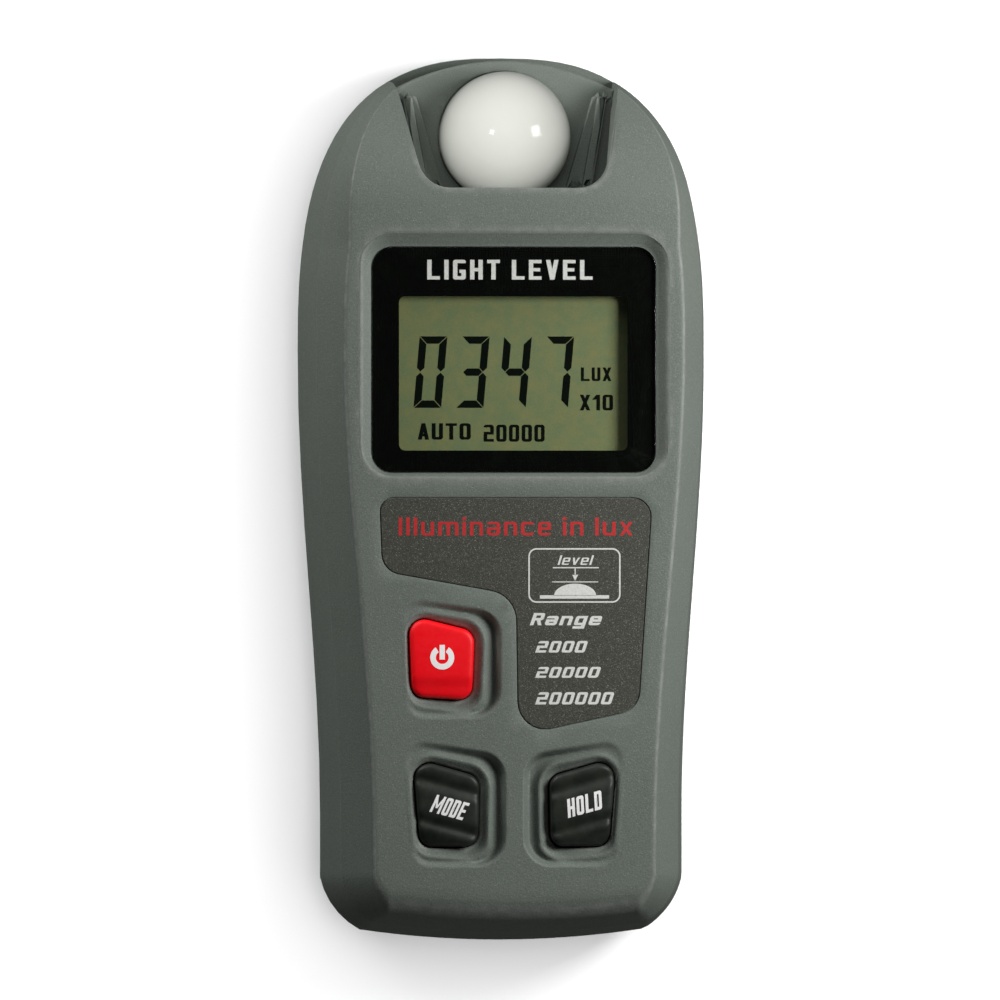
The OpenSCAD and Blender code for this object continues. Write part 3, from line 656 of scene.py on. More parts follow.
# Strips on the seat: place and width at each end, lower and upper level
RIDGES = [((8.65, 3.75, 13, 2), SEAT_TOP, SEAT_TOP + 0.8),
          ((11.1, 1.5, 13.7, 1.5), SEAT_TOP + 0.8, SEAT_TOP + 1.6)]


def ridge(side, x0, w0, x1, w1):
    """A raised strip from under the front cover outwards to the sensor end: place and width at each end."""
    corners = [(x0, 44.3, 0.2), (x0 + w0, 44.3, 0.2), (x1 + w1, 59.3, 0.4), (x1, 59.3, 0.4)]
    return corners if side > 0 else mirrored(corners)


def sensor_seat(look):
    """The plate in the notch that holds the dome, with two raised strips at each side of it."""
    arc_y = HALF_L - 0.45 - SEAT_ARC_R
    body = around(NOTCH_CORNERS, -0.15)
    arc = circle(SEAT_ARC_R, 0, arc_y, 240)
    tuck = around(NOTCH_CORNERS, 3.2)
    wall = around(NOTCH_CORNERS, 2.25)
    hollow = (LINING[2][:, :2] - NORMALS * 0.15).tolist()
    hole_r = DOME_R + 0.1
    hole = circle(hole_r, 0, DOME_Y)
    # The part of the seat that lies under the cover starts between the last two outlines
    loops = [body, tuck, hollow, hole, wall, around(NOTCH_CORNERS, 2.2)]
    drops = [0, 0, 0, 0.15, None, 0]
    for d, drop in fillet_drops(0.15, 2):
        loops.append(circle(hole_r + d, 0, DOME_Y))
        drops.append(drop)
    for d, drop in fillet_drops(0.5, 4):
        loops.append(circle(SEAT_ARC_R - d, 0, arc_y, 240))
        drops.append(drop)
    ridges = [(ridge(s, *sizes), low_z, top_z) for s in (-1, 1) for sizes, low_z, top_z in RIDGES]
    worn_highlight_shares = {}
    # The ridges' edges are painted paler: rubbed patches and a painted highlight line.
    for corners, low_z, top_z in ridges:
        for g, share in [(-0.01, 0), (-0.05, 0.7), (-0.1, 0.9), (-0.2, 1)]:
            worn_highlight_shares[len(loops)] = share
            loops.append(around(corners, g, 4))
            drops.append(SEAT_TOP - low_z - share * (top_z - low_z))
    loose = grid((-18, 43), (18, 65), 1.0)
    drop_of = np.array([*drops, 0], float)

    def main(mid):
        return inside(mid, body) & inside(mid, arc)

    def keep(mid):
        return (main(mid) | (inside(mid, tuck) & inside(mid, hollow))) & ~inside(mid, hole)

    def top(xy, origin):
        given = drop_of[origin]
        z = SEAT_TOP - np.nan_to_num(given)
        for corners, _, top_z in ridges:
            z = np.where((origin < 0) & inside(xy, around(corners, -0.02, 4)), top_z, z)
        outside_wall = (~inside(xy, around(NOTCH_CORNERS, 2.22))) | np.isnan(given)
        under = np.maximum(lining_height(xy) - 0.15, SEAT_FOOT + 0.2)
        z = np.where(outside_wall & ~main(xy), under, z)
        return z

    def bottom(xy, origin):
        return np.full(len(xy), SEAT_FOOT)

    build, xy, origin = height_solid(loops, loose, keep, top, bottom)
    wear_and_highlight = np.array([worn_highlight_shares.get(k, 0.0) for k in origin.tolist()])
    return piece("sensor_seat_moulding", build, "case", look, ["sensor_seat"], "case_plastic", 40,
                 np.concatenate([wear_and_highlight, wear_and_highlight * 0]))


def opal_dome(look):
    """A thin hemisphere on a short wall, with a lug at each side."""
    r = DOME_R
    z = DOME_HIGH.z - r
    base = DOME_LOW.z
    shell = 1.2
    steps = 40
    turn = [math.pi / 2 * i / steps for i in range(steps + 1)]
    outside = [(r * math.sin(a), z + r * math.cos(a)) for a in turn]
    within = [((r - shell) * math.sin(a), z + (r - shell) * math.cos(a)) for a in reversed(turn)]
    outside[0] = (0, z + r)
    within[-1] = (0, z + r - shell)
    build = Build()
    build.lathe(outside + [(r, base + 0.2), (r - 0.2, base), (r - shell, base)] + within, 0, DOME_Y, 144)
    for s in (-1, 1):
        lug = rectangle(DOME_HIGH.x - r + 1, 4.4, 0.4, s * (DOME_HIGH.x + r - 1) / 2, DOME_Y)
        build.prism(lug, [(-0.15, base), (0, base + 0.15), (0, base + 1.75), (-0.15, base + 1.9)], 4)
    return piece("opal_dome_cap", build, "case", look, ["diffuser_dome"], "opal_dome", 60)


# ---- keys ----

MODE_LEGEND = (-9.65, -45.15, -15)
HOLD_LEGEND = (10.2, -44.7, 15)
POWER_LEGEND = (-10.75, -23.2, 0)


def key_height(xy, corners, legend, black):
    """The top of a key: rounded over at its edge, crowned, with troughs beside a black key's legend."""
    edge = 0.75
    outline = rounded(corners, 8)
    d = np.minimum(distance(xy, outline), edge)
    roll = 0.6 * (1 - np.sqrt(np.maximum(0, 1 - (1 - d / edge) ** 2)))
    middle = np.array(corners)[:, :2].mean(0)
    crown = 0.006 * ((xy - middle) ** 2).sum(1)
    x, y, angle = legend
    a = math.radians(angle)
    v = -(xy[:, 0] - x) * math.sin(a) + (xy[:, 1] - y) * math.cos(a)
    if black:
        fold = 0.42 * np.exp(-((v - 2.9) / 0.8) ** 2) + 0.5 * np.exp(-((v + 2.9) / 0.8) ** 2)
        fold += 0.85 * smooth((-3.3 - v) / 3.2)
    else:
        fold = 0.12 * np.exp(-((v + 4.2) / 0.9) ** 2) + 0.5 * smooth((-2.6 - v) / 4.2)
    return KEY_HIGH.z - crown - roll - fold


def rubber_slot(name):
    return "red_rubber" if name == "power" else "black_rubber"


def key(name, look, corners, legend):
    """A key's cap, with the flange that keeps it in its hole."""
    flange_z = KEY_LOW.z + 1.6
    black = name != "power"
    rim = rounded(corners, 8, 24)
    loops = [rim] + [around(corners, -d, 8, 24) for d in (0.03, 0.09, 0.18, 0.32, 0.5, 0.75, 1.1)]
    a = np.array(rim)
    loose = grid(a.min(0), a.max(0), 0.32)
    loose = loose[inside(loose, around(corners, -1.3, 8))]
    build, xy, origin = height_solid(
        loops, loose, lambda mid: inside(mid, rim),
        lambda p, o: key_height(p, corners, legend, black), lambda p, o: np.full(len(p), flange_z - 0.3))
    build.prism(grown(corners, 0.7), [(0, KEY_LOW.z + 0.1), (0.1, KEY_LOW.z + 0.2), (0.1, flange_z - 0.1),
                                      (0, flange_z)])
    return piece(name + "_key_cap", build, name + "_button", look, [name + "_key"], rubber_slot(name), 50)


def skirt(name, look, corners):
    """The thin web round a key's flange, which on the real key folds down on the mat; here it is one fixed
    shape on the case body.
    """
    low = SKIRT_LOW.z
    high = SKIRT_HIGH.z
    build = Build()
    steps = 6
    outer = [(1.7 - 0.35 * smooth(i / steps), low + (high - low) * i / steps) for i in range(steps + 1)]
    inner = [(g - 0.5, z) for g, z in reversed(outer)]
    build.loft([[(x, y, z) for x, y in around(corners, g)] for g, z in outer + inner], True)
    obj = piece(name + "_key_web", build, "case", look, [name + "_skirt"], rubber_slot(name))
    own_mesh(obj)


# ---- lettering and printed marks ----

# Letter width, upright and level strokes, corner radius, gap and slant, for letters one unit high
TITLE_STYLE = (0.58, 0.2, 0.17, 0.1, 0.2, 0.0)
HEADING_STYLE = (0.58, 0.16, 0.14, 0.16, 0.17, 0.0)
LABEL_STYLE = (0.86, 0.27, 0.2, 0.18, 0.2, 0.32)
SMALL_STYLE = (0.62, 0.17, 0.13, 0.12, 0.16, 0.25)
KEY_STYLE = (0.44, 0.17, 0.16, 0.12, 0.1, 0.22)
LCD_STYLE = (0.54, 0.19, 0.16, 0.15, 0.13, 0.0)


def block(x0, y0, x1, y1, r=0.0):
    """A rectangle between two corners, as an outline."""
    return rounded(rectangle(x1 - x0, y1 - y0, r, (x0 + x1) / 2, (y0 + y1) / 2), 4)


def slash(x0, x1, y0, y1, t):
    """A slanting stroke whose ends are level."""
    return [(x0 - t / 2, y0), (x0 + t / 2, y0), (x1 + t / 2, y1), (x1 - t / 2, y1)]


def glyph(letter, w, t, s, r):
    """A letter one unit high as steps that add to its shape or cut from it, and its width.

    w is the width of a letter, t and s the thickness of upright and level strokes, r the corner radius.
    """
    # Height of a small letter, radius inside a bowl and the middle of a capital
    x_high = 0.76
    q = max(0.02, r - t * 0.6)
    m = 0.5
    stem, bowl = block(0, 0, t, 1), block(0, 0, w, 1, r)
    hollow = block(t, s, w - t, 1 - s, q)
    low_bowl, low_hollow = block(0, 0, w, x_high, r), block(t, s, w - t, x_high - s, q)
    level = (x_high - s) / 2
    wide = 1.55 * w
    broad = w + 1.35 * t
    shapes = {
        "A": [1, slash(t / 2, w / 2, 0, 1, t), 1, slash(w - t / 2, w / 2, 0, 1, t),
              1, block(t, 0.2, w - t, 0.2 + s)],
        "D": [1, bowl, 1, block(0, 0, r, 1), -1, hollow],
        "E": [1, stem, 1, block(0, 0, w, s), 1, block(0, m - s / 2, w * 0.9, m + s / 2),
              1, block(0, 1 - s, w, 1)],
        "G": [1, bowl, -1, hollow, -1, block(w - t * 1.1, m, w + t, 1 - s), 1, block(w / 2, m - s, w, m)],
        "H": [1, stem, 1, block(w - t, 0, w, 1), 1, block(0, m - s / 2, w, m + s / 2)],
        "I": [1, stem],
        "L": [1, stem, 1, block(0, 0, w, s)],
        "M": [1, block(0, 0, t * 0.95, 1), 1, block(broad - t * 0.95, 0, broad, 1),
              1, slash(broad / 2, t * 0.4, 0.28, 1, t * 0.75),
              1, slash(broad / 2, broad - t * 0.4, 0.28, 1, t * 0.75)],
        "O": [1, bowl, -1, hollow],
        "R": [1, block(0, m - s / 2, w, 1, r), -1, block(t, m + s / 2, w - t, 1 - s, q), 1, stem,
              1, slash(w - t / 2, w * 0.55, 0, m, t)],
        "T": [1, block(0, 1 - s, w, 1), 1, block((w - t) / 2, 0, (w + t) / 2, 1)],
        "U": [1, bowl, -1, block(t, s, w - t, 1.4, q), 1, block(0, m, t, 1), 1, block(w - t, m, w, 1)],
        "V": [1, slash(w / 2, t / 2, 0, 1, t), 1, slash(w / 2, w - t / 2, 0, 1, t)],
        "X": [1, slash(t / 2, w - t / 2, 0, 1, t), 1, slash(w - t / 2, t / 2, 0, 1, t)],
        "1": [1, block(w * 0.35, 0, w * 0.35 + t, 1), 1, slash(w * 0.1, w * 0.35 + t / 2, 0.68, 1, t)],
        "2": [1, block(0, m - s / 2, w, 1, r), -1, block(-t, m + s / 2, w - t, 1 - s),
              1, block(0, 0, w, m + s / 2, r), -1, block(t, s, w + t, m - s / 2), 1, block(0, 0, w, s)],
        "a": [1, low_bowl, -1, block(-t, level + s, w - t, x_high - s),
              -1, block(t, s, w - t, level, q * 0.5)],
        "c": [1, low_bowl, -1, low_hollow, -1, block(w - t * 1.1, s * 1.1, w + t, x_high - s * 1.1)],
        "e": [1, low_bowl, -1, block(t, s, w + t, level),
              -1, block(t, level + s, w - t, x_high - s, q * 0.5)],
        "g": [1, low_bowl, -1, low_hollow, 1, block(w - t, -0.28, w, x_high),
              1, block(0, -0.28, w, s - 0.28)],
        "i": [1, block(0, 0, t, x_high), 1, block(0, x_high + 0.09, t, 1.02)],
        "l": [1, stem],
        "m": [1, block(0, -1, wide, x_high, r), -1, block(t, -2, (wide - t) / 2, x_high - s, q),
              -1, block((wide + t) / 2, -2, wide - t, x_high - s, q), -1, block(-1, -2, 9, 0),
              1, block(0, 0, t, x_high)],
        "n": [1, block(0, -1, w, x_high, r), -1, block(t, -2, w - t, x_high - s, q),
              -1, block(-1, -2, 9, 0), 1, block(0, 0, t, x_high)],
        "u": [1, block(0, 0, w, 2, r), -1, block(t, s, w - t, 3, q), -1, block(-1, x_high, 9, 9),
              1, block(w - t, 0, w, x_high)],
        "v": [1, slash(w / 2, t / 2, 0, x_high, t), 1, slash(w / 2, w - t / 2, 0, x_high, t)],
        "x": [1, slash(t / 2, w - t / 2, 0, x_high, t), 1, slash(w - t / 2, t / 2, 0, x_high, t)],
    }
    steps = shapes[letter.replace("0", "O")]
    width = {"I": t, "i": t, "l": t, "M": broad, "m": wide, "1": w * 0.35 + t}.get(letter, w)
    return list(zip(steps[::2], steps[1::2])), width


def flat_text(text, style):
    """A line of text one unit high, as flat points and faces without overlaps."""
    w, t, s, r, gap, slant = style
    points, faces = [], []
    at = 0.0
    for letter in text:
        if letter == " ":
            at += w * 0.6
            continue
        steps, width = glyph(letter, w, t, s, r)
        loose = grid((-0.05, -0.3), (width + 0.05, 1.05), 0.11)
        xy, triangles, _ = triangulate([outline for _, outline in steps], loose, 1e-6)
        middle = xy[triangles].mean(axis=1)
        shown = np.zeros(len(middle), bool)
        for sign, outline in steps:
            within = inside(middle, outline)
            shown = (shown | within) if sign > 0 else (shown & ~within)
        used, kept = np.unique(triangles[shown], return_inverse=True)
        faces += (kept.reshape(-1, 3) + len(points)).tolist()
        points += [(x + at + y * slant, y) for x, y in xy[used].tolist()]
        at += width + gap
    return np.array(points), faces


def add_flat(build, points, faces, height, thick):
    """Raises flat faces into a thin closed print that follows a surface."""
    points = np.asarray(points, float)
    z = height(points)
    n = len(points)
    start = len(build.points)
    for lift in (thick, -thick):
        build.points += np.column_stack([points, z + lift]).tolist()
    known = {(a, b) for f in faces for a, b in zip(f, list(f[1:]) + [f[0]])}
    for f in faces:
        build.faces.append(tuple(start + i for i in f))
        build.faces.append(tuple(start + n + i for i in reversed(f)))
    for a, b in known:
        if (b, a) not in known:
            build.faces.append((start + b, start + a, start + n + a, start + n + b))


def add_text(build, text, centre, size, height, style, angle=0, thick=INK_T):
    """Text that fills a box of size (w, h) round its centre, turned by an angle."""
    points, faces = flat_text(text, style)
    low, high = points.min(0), points.max(0)
    points = (points - (low + high) / 2) / (high - low) * size
    a = math.radians(angle)
    turn = np.array([[math.cos(a), math.sin(a)], [-math.sin(a), math.cos(a)]])
    add_flat(build, points @ turn + centre, faces, height, thick)


def add_shape(build, outline, height, thick=INK_T):
    add_flat(build, outline, [list(range(len(outline)))], height, thick)


def add_frame(build, outer, inner, height):
    """A band between two outlines with the same number of points."""
    n = len(outer)
    faces = [[i, (i + 1) % n, n + (i + 1) % n, n + i] for i in range(n)]
    add_flat(build, list(outer) + list(inner), faces, height, INK_T)


def level_at(z):
    return lambda points: np.full(len(points), z)


def bar(x0, x1, y0, y1):
    return [(x0, y0), (x1, y0), (x1, y1), (x0, y1)]


# Which of the seven segments, a to g, are lit for each figure
SEGMENTS = {"0": "abcdef", "3": "abcdg", "4": "bcfg", "7": "abc"}


def segment_outlines(w, h, t):
    m = h / 2
    k = t / 2
    return {
        "a": [(0, h), (t, h - t), (w - t, h - t), (w, h)],
        "d": [(0, 0), (w, 0), (w - t, t), (t, t)],
        "g": [(k, m), (t, m - k), (w - t, m - k), (w - k, m), (w - t, m + k), (t, m + k)],
        "f": [(0, h), (0, m + k), (k, m), (t, m + k), (t, h - t)],
        "b": [(w, h), (w - t, h - t), (w - t, m + k), (w - k, m), (w, m + k)],
        "e": [(0, 0), (t, t), (t, m - k), (k, m), (0, m - k)],
        "c": [(w, 0), (w, m - k), (w - k, m), (w - t, m - k), (w - t, t)],
    }


def lcd_print(look):
    top = level_at(LCD_TOP + LCD_INK_T)
    build = Build()
    slant = math.tan(math.radians(5))
    # A figure's width, height and stroke, the step to the next one and the first one's lower corner
    w, h, t, pitch = 4.2, 10.6, 1.2, 6.23
    x0, y0 = -14.6, 13.3
    inset = -0.06
    for k, figure in enumerate("0347"):
        for name, outline in segment_outlines(w, h, t).items():
            if name not in SEGMENTS[figure]:
                continue
            corners = grown([(x, y, 0) for x, y in outline], inset)
            shape = [(x0 + pitch * k + x + y * slant, y0 + y) for x, y, _ in corners]
            add_shape(build, shape, top, LCD_INK_T)
    marks = [("LUX", (12.4, 18.3), (4.5, 2.0)), ("X10", (12.45, 14.15), (4.9, 2.3)),
             ("AUTO", (-10, 9.9), (7.8, 2.4)), ("20000", (0.3, 9.65), (9, 2.5))]
    for text, centre, size in marks:
        add_text(build, text, centre, size, top, LCD_STYLE, thick=LCD_INK_T)
    return piece("lcd_figures", build, "case", look, slot="lcd_cell")


def window_print(look):
    build = Build()
    add_text(build, "LIGHT LEVEL", (-0.5, 33.6), (24.4, 2.9), level_at(MASK_HIGH.z), TITLE_STYLE,
             thick=THICK_INK_T)
    return piece("window_title", build, "case", look)


def label_print(red, white):
    top = level_at(LABEL_TOP)
    title = Build()
    add_text(title, "Illuminance in lux", (0.15, -4.0), (34.5, 2.7), top, HEADING_STYLE)
    figures = Build()
    # Each line's text, left, right, bottom and top
    lines = [("Range", 2.2, 12.9, -19.0, -16.7), ("2000", 3.0, 10.75, -22.5, -20.8),
             ("20000", 3.0, 12.7, -26.2, -24.6), ("200000", 3.0, 14.65, -30.1, -28.3)]
    for text, x0, x1, y0, y1 in lines:
        add_text(figures, text, ((x0 + x1) / 2, (y0 + y1) / 2), (x1 - x0, y1 - y0), top, LABEL_STYLE)
    # A dome on a plate, with an arrow down to its top, in a rounded frame
    diagram = Build()
    box = rectangle(13.6, 8, 1.2, 8.8, -11.2)
    add_frame(diagram, rounded(box), around(box, -0.22), top)
    add_text(diagram, "level", (9, -8.95), (5.4, 1.4), top, SMALL_STYLE)
    bump = [(8.9 + 3.1 * math.cos(a), -14.15 + 1.75 * math.sin(a)) for a in np.linspace(0, math.pi, 25)]
    for shape in (bar(5.6, 12.4, -10.15, -9.98), bar(8.82, 8.98, -11.2, -10.15),
                  [(8.45, -11.1), (8.9, -12.0), (9.35, -11.1)], bar(5.5, 12.3, -12.22, -12.08),
                  bump, bar(3.7, 13.9, -14.6, -14.1)):
        add_shape(diagram, shape, top)
    piece("label_title", title, "case", red)
    piece("label_figures", figures, "case", white)
    piece("label_diagram", diagram, "case", white)


def key_prints(look):
    """The two words, and the power sign: a ring that is open at the top, with a bar in its gap."""
    prints = []
    for name, corners, legend, w in (("mode", MODE_CORNERS, MODE_LEGEND, 5.5),
                                     ("hold", HOLD_CORNERS, HOLD_LEGEND, 5.7)):
        build = Build()
        x, y, angle = legend
        add_text(build, name.upper(), (x, y), (w, 2.7), lambda p: key_height(p, corners, legend, True),
                 KEY_STYLE, angle, THICK_INK_T)
        prints.append(piece(name + "_legend", build, name + "_button", look))
    x, y, _ = POWER_LEGEND
    height = lambda p: key_height(p, POWER_CORNERS, POWER_LEGEND, False)
    build = Build()
    outer, inner, opening = 1.77, 0.94, math.radians(33)
    turn = np.linspace(math.pi / 2 + opening, 5 * math.pi / 2 - opening, 41)
    arc = [(x + r * math.cos(a), y + r * math.sin(a)) for r in (outer, inner) for a in turn]
    n = len(turn)
    add_flat(build, arc, [[i, i + 1, n + i + 1, n + i] for i in range(n - 1)], height, THICK_INK_T)
    add_shape(build, bar(x - 0.39, x + 0.39, y - 0.3, y + 1.85), height, THICK_INK_T)
    return prints + [piece("power_legend", build, "power_button", look)]


# ---- materials ----

class Look:
    """A material with a Principled shader, and texture coordinates in millimetres."""

    def __init__(self, name, colour, rough=0.5, **inputs):
        self.material = bpy.data.materials.new(name)
        self.material.use_nodes = True
        self.nodes = self.material.node_tree.nodes
        self.links = self.material.node_tree.links
        self.shader = self.nodes["Principled BSDF"]
        self.fill(self.shader, Base_Color=colour, Roughness=rough, **inputs)
        where = self.add("TexCoord").outputs["Object"]
        self.where = self.add("Mapping", Vector=where, Scale=(1 / MM, 1 / MM, 1 / MM)).outputs["Vector"]
        self.relief = None

    def put(self, socket, value):
        """Links an input to an output, or sets it to a number, vector or colour."""
        if isinstance(value, bpy.types.NodeSocket):
            self.links.new(value, socket)
        else:
            socket.default_value = (*value, 1) if socket.type == "RGBA" else value

    def fill(self, node, **inputs):
        for name, value in inputs.items():
            self.put(node.inputs[name.replace("_", " ")], value)

    def add(self, kind, **inputs):
        node = self.nodes.new("ShaderNode" + kind)
        self.fill(node, **inputs)
        return node

    def noise(self, size, detail=2.0, rough=0.5):
        """Noise whose features are about size millimetres across."""
        node = self.add("TexNoise", Vector=self.where, Scale=1 / size, Detail=detail, Roughness=rough)
        return node.outputs["Fac"]

    def ramp(self, value, start, end, low=0.0, high=1.0):
        """Maps a value to low up to start and to high from end on."""
        node = self.add("ValToRGB", Fac=value)
        for i, (at, grey) in enumerate(((start, low), (end, high))):
            node.color_ramp.elements[i].position = at
            node.color_ramp.elements[i].color = (grey, grey, grey, 1)
        return node.outputs["Color"]

    def patches(self, start, end, *noise):
        """Noise that is 0 below start and 1 above end."""
        return self.ramp(self.noise(*noise), start, end)

    def mix(self, share, a, b, blend="MIX"):
        node = self.add("Mix")
        node.data_type = "RGBA"
        node.blend_type = blend
        for index, value in ((0, share), (6, a), (7, b)):
            self.put(node.inputs[index], value)
        return node.outputs[2]

    def calculate(self, operation, a, b):
        node = self.add("Math")
        node.operation = operation
        self.put(node.inputs[0], a)
        self.put(node.inputs[1], b)
        return node.outputs[0]

    def worn_and_highlighted_edges(self, base):
        """The base colour with its marked edges painted paler in patches: partly rubbed wear, partly a painted
        highlight along the edges.
        """
        wear_and_highlight = self.add("Attribute")
        wear_and_highlight.attribute_name = "wear_and_highlight"
        patches = self.ramp(self.noise(1.6, 3), 0.4, 0.75, 0.25, 0.9)
        share = self.mix(1.0, patches, wear_and_highlight.outputs["Fac"], "MULTIPLY")
        # The pale colour is partly rubbed wear and partly a painted highlight on edges that catch the light.
        return self.mix(share, base, (0.30, 0.31, 0.285))

    def colour(self, *mixed):
        """Mixes the base colour as mix does."""
        self.fill(self.shader, Base_Color=self.mix(*mixed))

    def roughness(self, low, high, *noise, start=0.2):
        """Varies the roughness from low to high over noise."""
        self.fill(self.shader, Roughness=self.ramp(self.noise(*noise), start, 0.8, low, high))

    def bump(self, height, depth):
        """Adds relief of a depth in millimetres."""
        node = self.add("Bump", Height=height, Distance=depth * MM, Strength=1)
        if self.relief:
            self.fill(node, Normal=self.relief)
        self.relief = node.outputs["Normal"]
        self.fill(self.shader, Normal=self.relief)


def case_plastic():
    look = Look("case_plastic", CASE_GREY, 0.5, Specular_IOR_Level=0.35)
    base = look.mix(look.patches(0.3, 0.7, 14, 3), (0.128, 0.150, 0.131), CASE_PALE)
    base = look.mix(look.patches(0.3, 0.7, 0.22, 2, 0.6), base, (0.187, 0.211, 0.186))
    base = look.mix(look.patches(0.66, 0.74, 0.13, 1), base, (0.35, 0.375, 0.33))
    # Marked edges get rubbed patches and a painted highlight line.
    look.fill(look.shader, Base_Color=look.worn_and_highlighted_edges(base))
    look.roughness(0.42, 0.62, 0.4, 3)
    look.bump(look.noise(0.3, 3, 0.6), 0.045)
    look.bump(look.noise(0.12, 1), 0.02)
    return look.material


def lower_plastic():
    """The moulding that shows as finer grain on the rear cover, the door and the seat."""
    look = Look("moulded_plastic", CASE_GREY, 0.5, Specular_IOR_Level=0.35)
    base = look.mix(look.patches(0.3, 0.7, 10, 3), (0.123, 0.145, 0.127), CASE_PALE)
    base = look.mix(look.patches(0.3, 0.75, 0.2, 2), base, (0.182, 0.206, 0.181))
    # Marked edges get rubbed patches and a painted highlight line.
    look.fill(look.shader, Base_Color=look.worn_and_highlighted_edges(base))
    look.roughness(0.44, 0.6, 0.5, 3)
    look.bump(look.noise(0.28, 3, 0.6), 0.03)
    return look.material


def opal():
    look = Look("opal_dome", (0.80, 0.81, 0.74), 0.12, Subsurface_Weight=0.3, Subsurface_Scale=0.0015,
                Subsurface_Radius=(1.0, 0.97, 0.85), Coat_Weight=0.5, Coat_Roughness=0.05)
    look.colour(look.noise(6, 2), (0.79, 0.80, 0.735), (0.83, 0.84, 0.77))
    look.roughness(0.08, 0.16, 2, 3)
    return look.material


def clear_window():
    """Clear acrylic: what is behind it shows through, and it mirrors more at a slant."""
    look = Look("clear_window", (0.9, 0.92, 0.9), 0.06)
    clear = look.add("BsdfTransparent", Color=(0.96, 0.97, 0.96))
    gloss = look.add("BsdfGlossy", Roughness=0.05)
    fresnel = look.add("Fresnel", IOR=1.49)
    # Only the outer faces mirror, so that light gets out again at any slant
    outward = look.calculate("SUBTRACT", 1, look.add("NewGeometry").outputs["Backfacing"])
    share = look.calculate("MULTIPLY", fresnel.outputs[0], outward)
    join = look.add("MixShader")
    for index, source in enumerate((share, clear.outputs[0], gloss.outputs[0])):
        look.put(join.inputs[index], source)
    output = next(n for n in look.nodes if n.type == "OUTPUT_MATERIAL")
    look.fill(output, Surface=join.outputs[0])
    look.nodes.remove(look.shader)
    return look.material


def black_print():
    look = Look("black_print", (0.004, 0.005, 0.004), 0.35, Specular_IOR_Level=0.1)
    look.colour(look.noise(3, 3), (0.003, 0.004, 0.003), (0.006, 0.008, 0.006))
    look.roughness(0.3, 0.42, 1.2, 2)
    return look.material


def label_film():
    look = Look("label_print", (0.075, 0.077, 0.06), 0.45)
    grain = (0.2, 3, 0.7)
    base = look.mix(look.patches(0.35, 0.65, *grain), (0.036, 0.036, 0.029), (0.088, 0.089, 0.072))
    look.colour(look.patches(0.63, 0.72, 0.15, 1), base, (0.27, 0.27, 0.22))
    look.roughness(0.38, 0.55, *grain)
    look.bump(look.noise(*grain), 0.01)
    return look.material


def print_ink(name, colour, shade, shine=0.5):
    look = Look(name, colour, 0.45, Specular_IOR_Level=shine)
    look.colour(look.patches(0.35, 0.8, 0.35, 3), colour, shade)
    look.roughness(0.4, 0.55, 0.8, 2)
    return look.material


def lcd_film():
    look = Look("lcd_film", (0.24, 0.27, 0.15), 0.35)
    base = look.mix(look.patches(0.38, 0.66, 2.2, 4, 0.7), (0.186, 0.240, 0.112), (0.262, 0.258, 0.100))
    look.colour(look.ramp(look.noise(0.22, 2), 0.35, 0.75, 0, 0.35), base, (0.31, 0.34, 0.20))
    look.roughness(0.3, 0.45, 0.5, 2)
    return look.material


def rubber(name, colour, bright):
    look = Look(name, colour, 0.42, Specular_IOR_Level=0.25)
    look.colour(look.patches(0.35, 0.75, 2.2, 3), colour, bright)
    look.roughness(0.35, 0.52, 0.7, 3)
    look.bump(look.noise(0.25, 2), 0.012)
    return look.material


def metal(name, colour, shade, rough):
    look = Look(name, colour, rough, Metallic=1.0)
    look.colour(look.patches(0.35, 0.75, 1.2, 3), colour, shade)
    look.roughness(rough - 0.1, rough + 0.15, 0.4, 3, start=0.25)
    look.bump(look.noise(0.2, 2), 0.006)
    return look.material


def moulded(name, colour, shade, rough=0.45, grain=0.4):
    look = Look(name, colour, rough)
    look.colour(look.patches(0.3, 0.75, grain * 5, 3), colour, shade)
    look.roughness(rough - 0.08, rough + 0.12, grain, 3)
    look.bump(look.noise(grain, 2), 0.01)
    return look.material


def cell_jacket():
    """A printed film sleeve in two colours with bare ends, as on a plain cell."""
    look = Look("cell_jacket", (0.06, 0.12, 0.3), 0.3)
    y = look.add("SeparateXYZ", Vector=look.where).outputs["Y"]
    band = look.add("MapRange", Value=y, From_Min=JACKET_BAND, From_Max=JACKET_BAND + 0.3)
    base = look.mix(band.outputs["Result"], (0.03, 0.07, 0.19), (0.42, 0.43, 0.45))
    look.colour(look.ramp(look.noise(2, 3), 0.3, 0.8, 0, 0.25), base, (0.02, 0.04, 0.1))
    look.roughness(0.25, 0.4, 0.8, 3)
    return look.material


def board_green():
    look = Look("board_green", (0.02, 0.12, 0.05), 0.35)
    cells = look.add("TexVoronoi", Vector=look.where, Scale=1 / 1.8)
    tracks = look.ramp(cells.outputs["Distance"], 0.42, 0.5)
    base = look.mix(tracks, (0.012, 0.075, 0.032), (0.03, 0.15, 0.062))
    look.colour(look.ramp(look.noise(4, 3), 0.3, 0.8, 0, 0.3), base, (0.05, 0.17, 0.05))
    look.roughness(0.28, 0.42, 0.6, 2)
    look.bump(tracks, 0.03)
    return look.material


def modify(obj, kind, **settings):
    modifier = obj.modifiers.new(kind.lower(), kind)
    for name, value in settings.items():
        setattr(modifier, name, value)


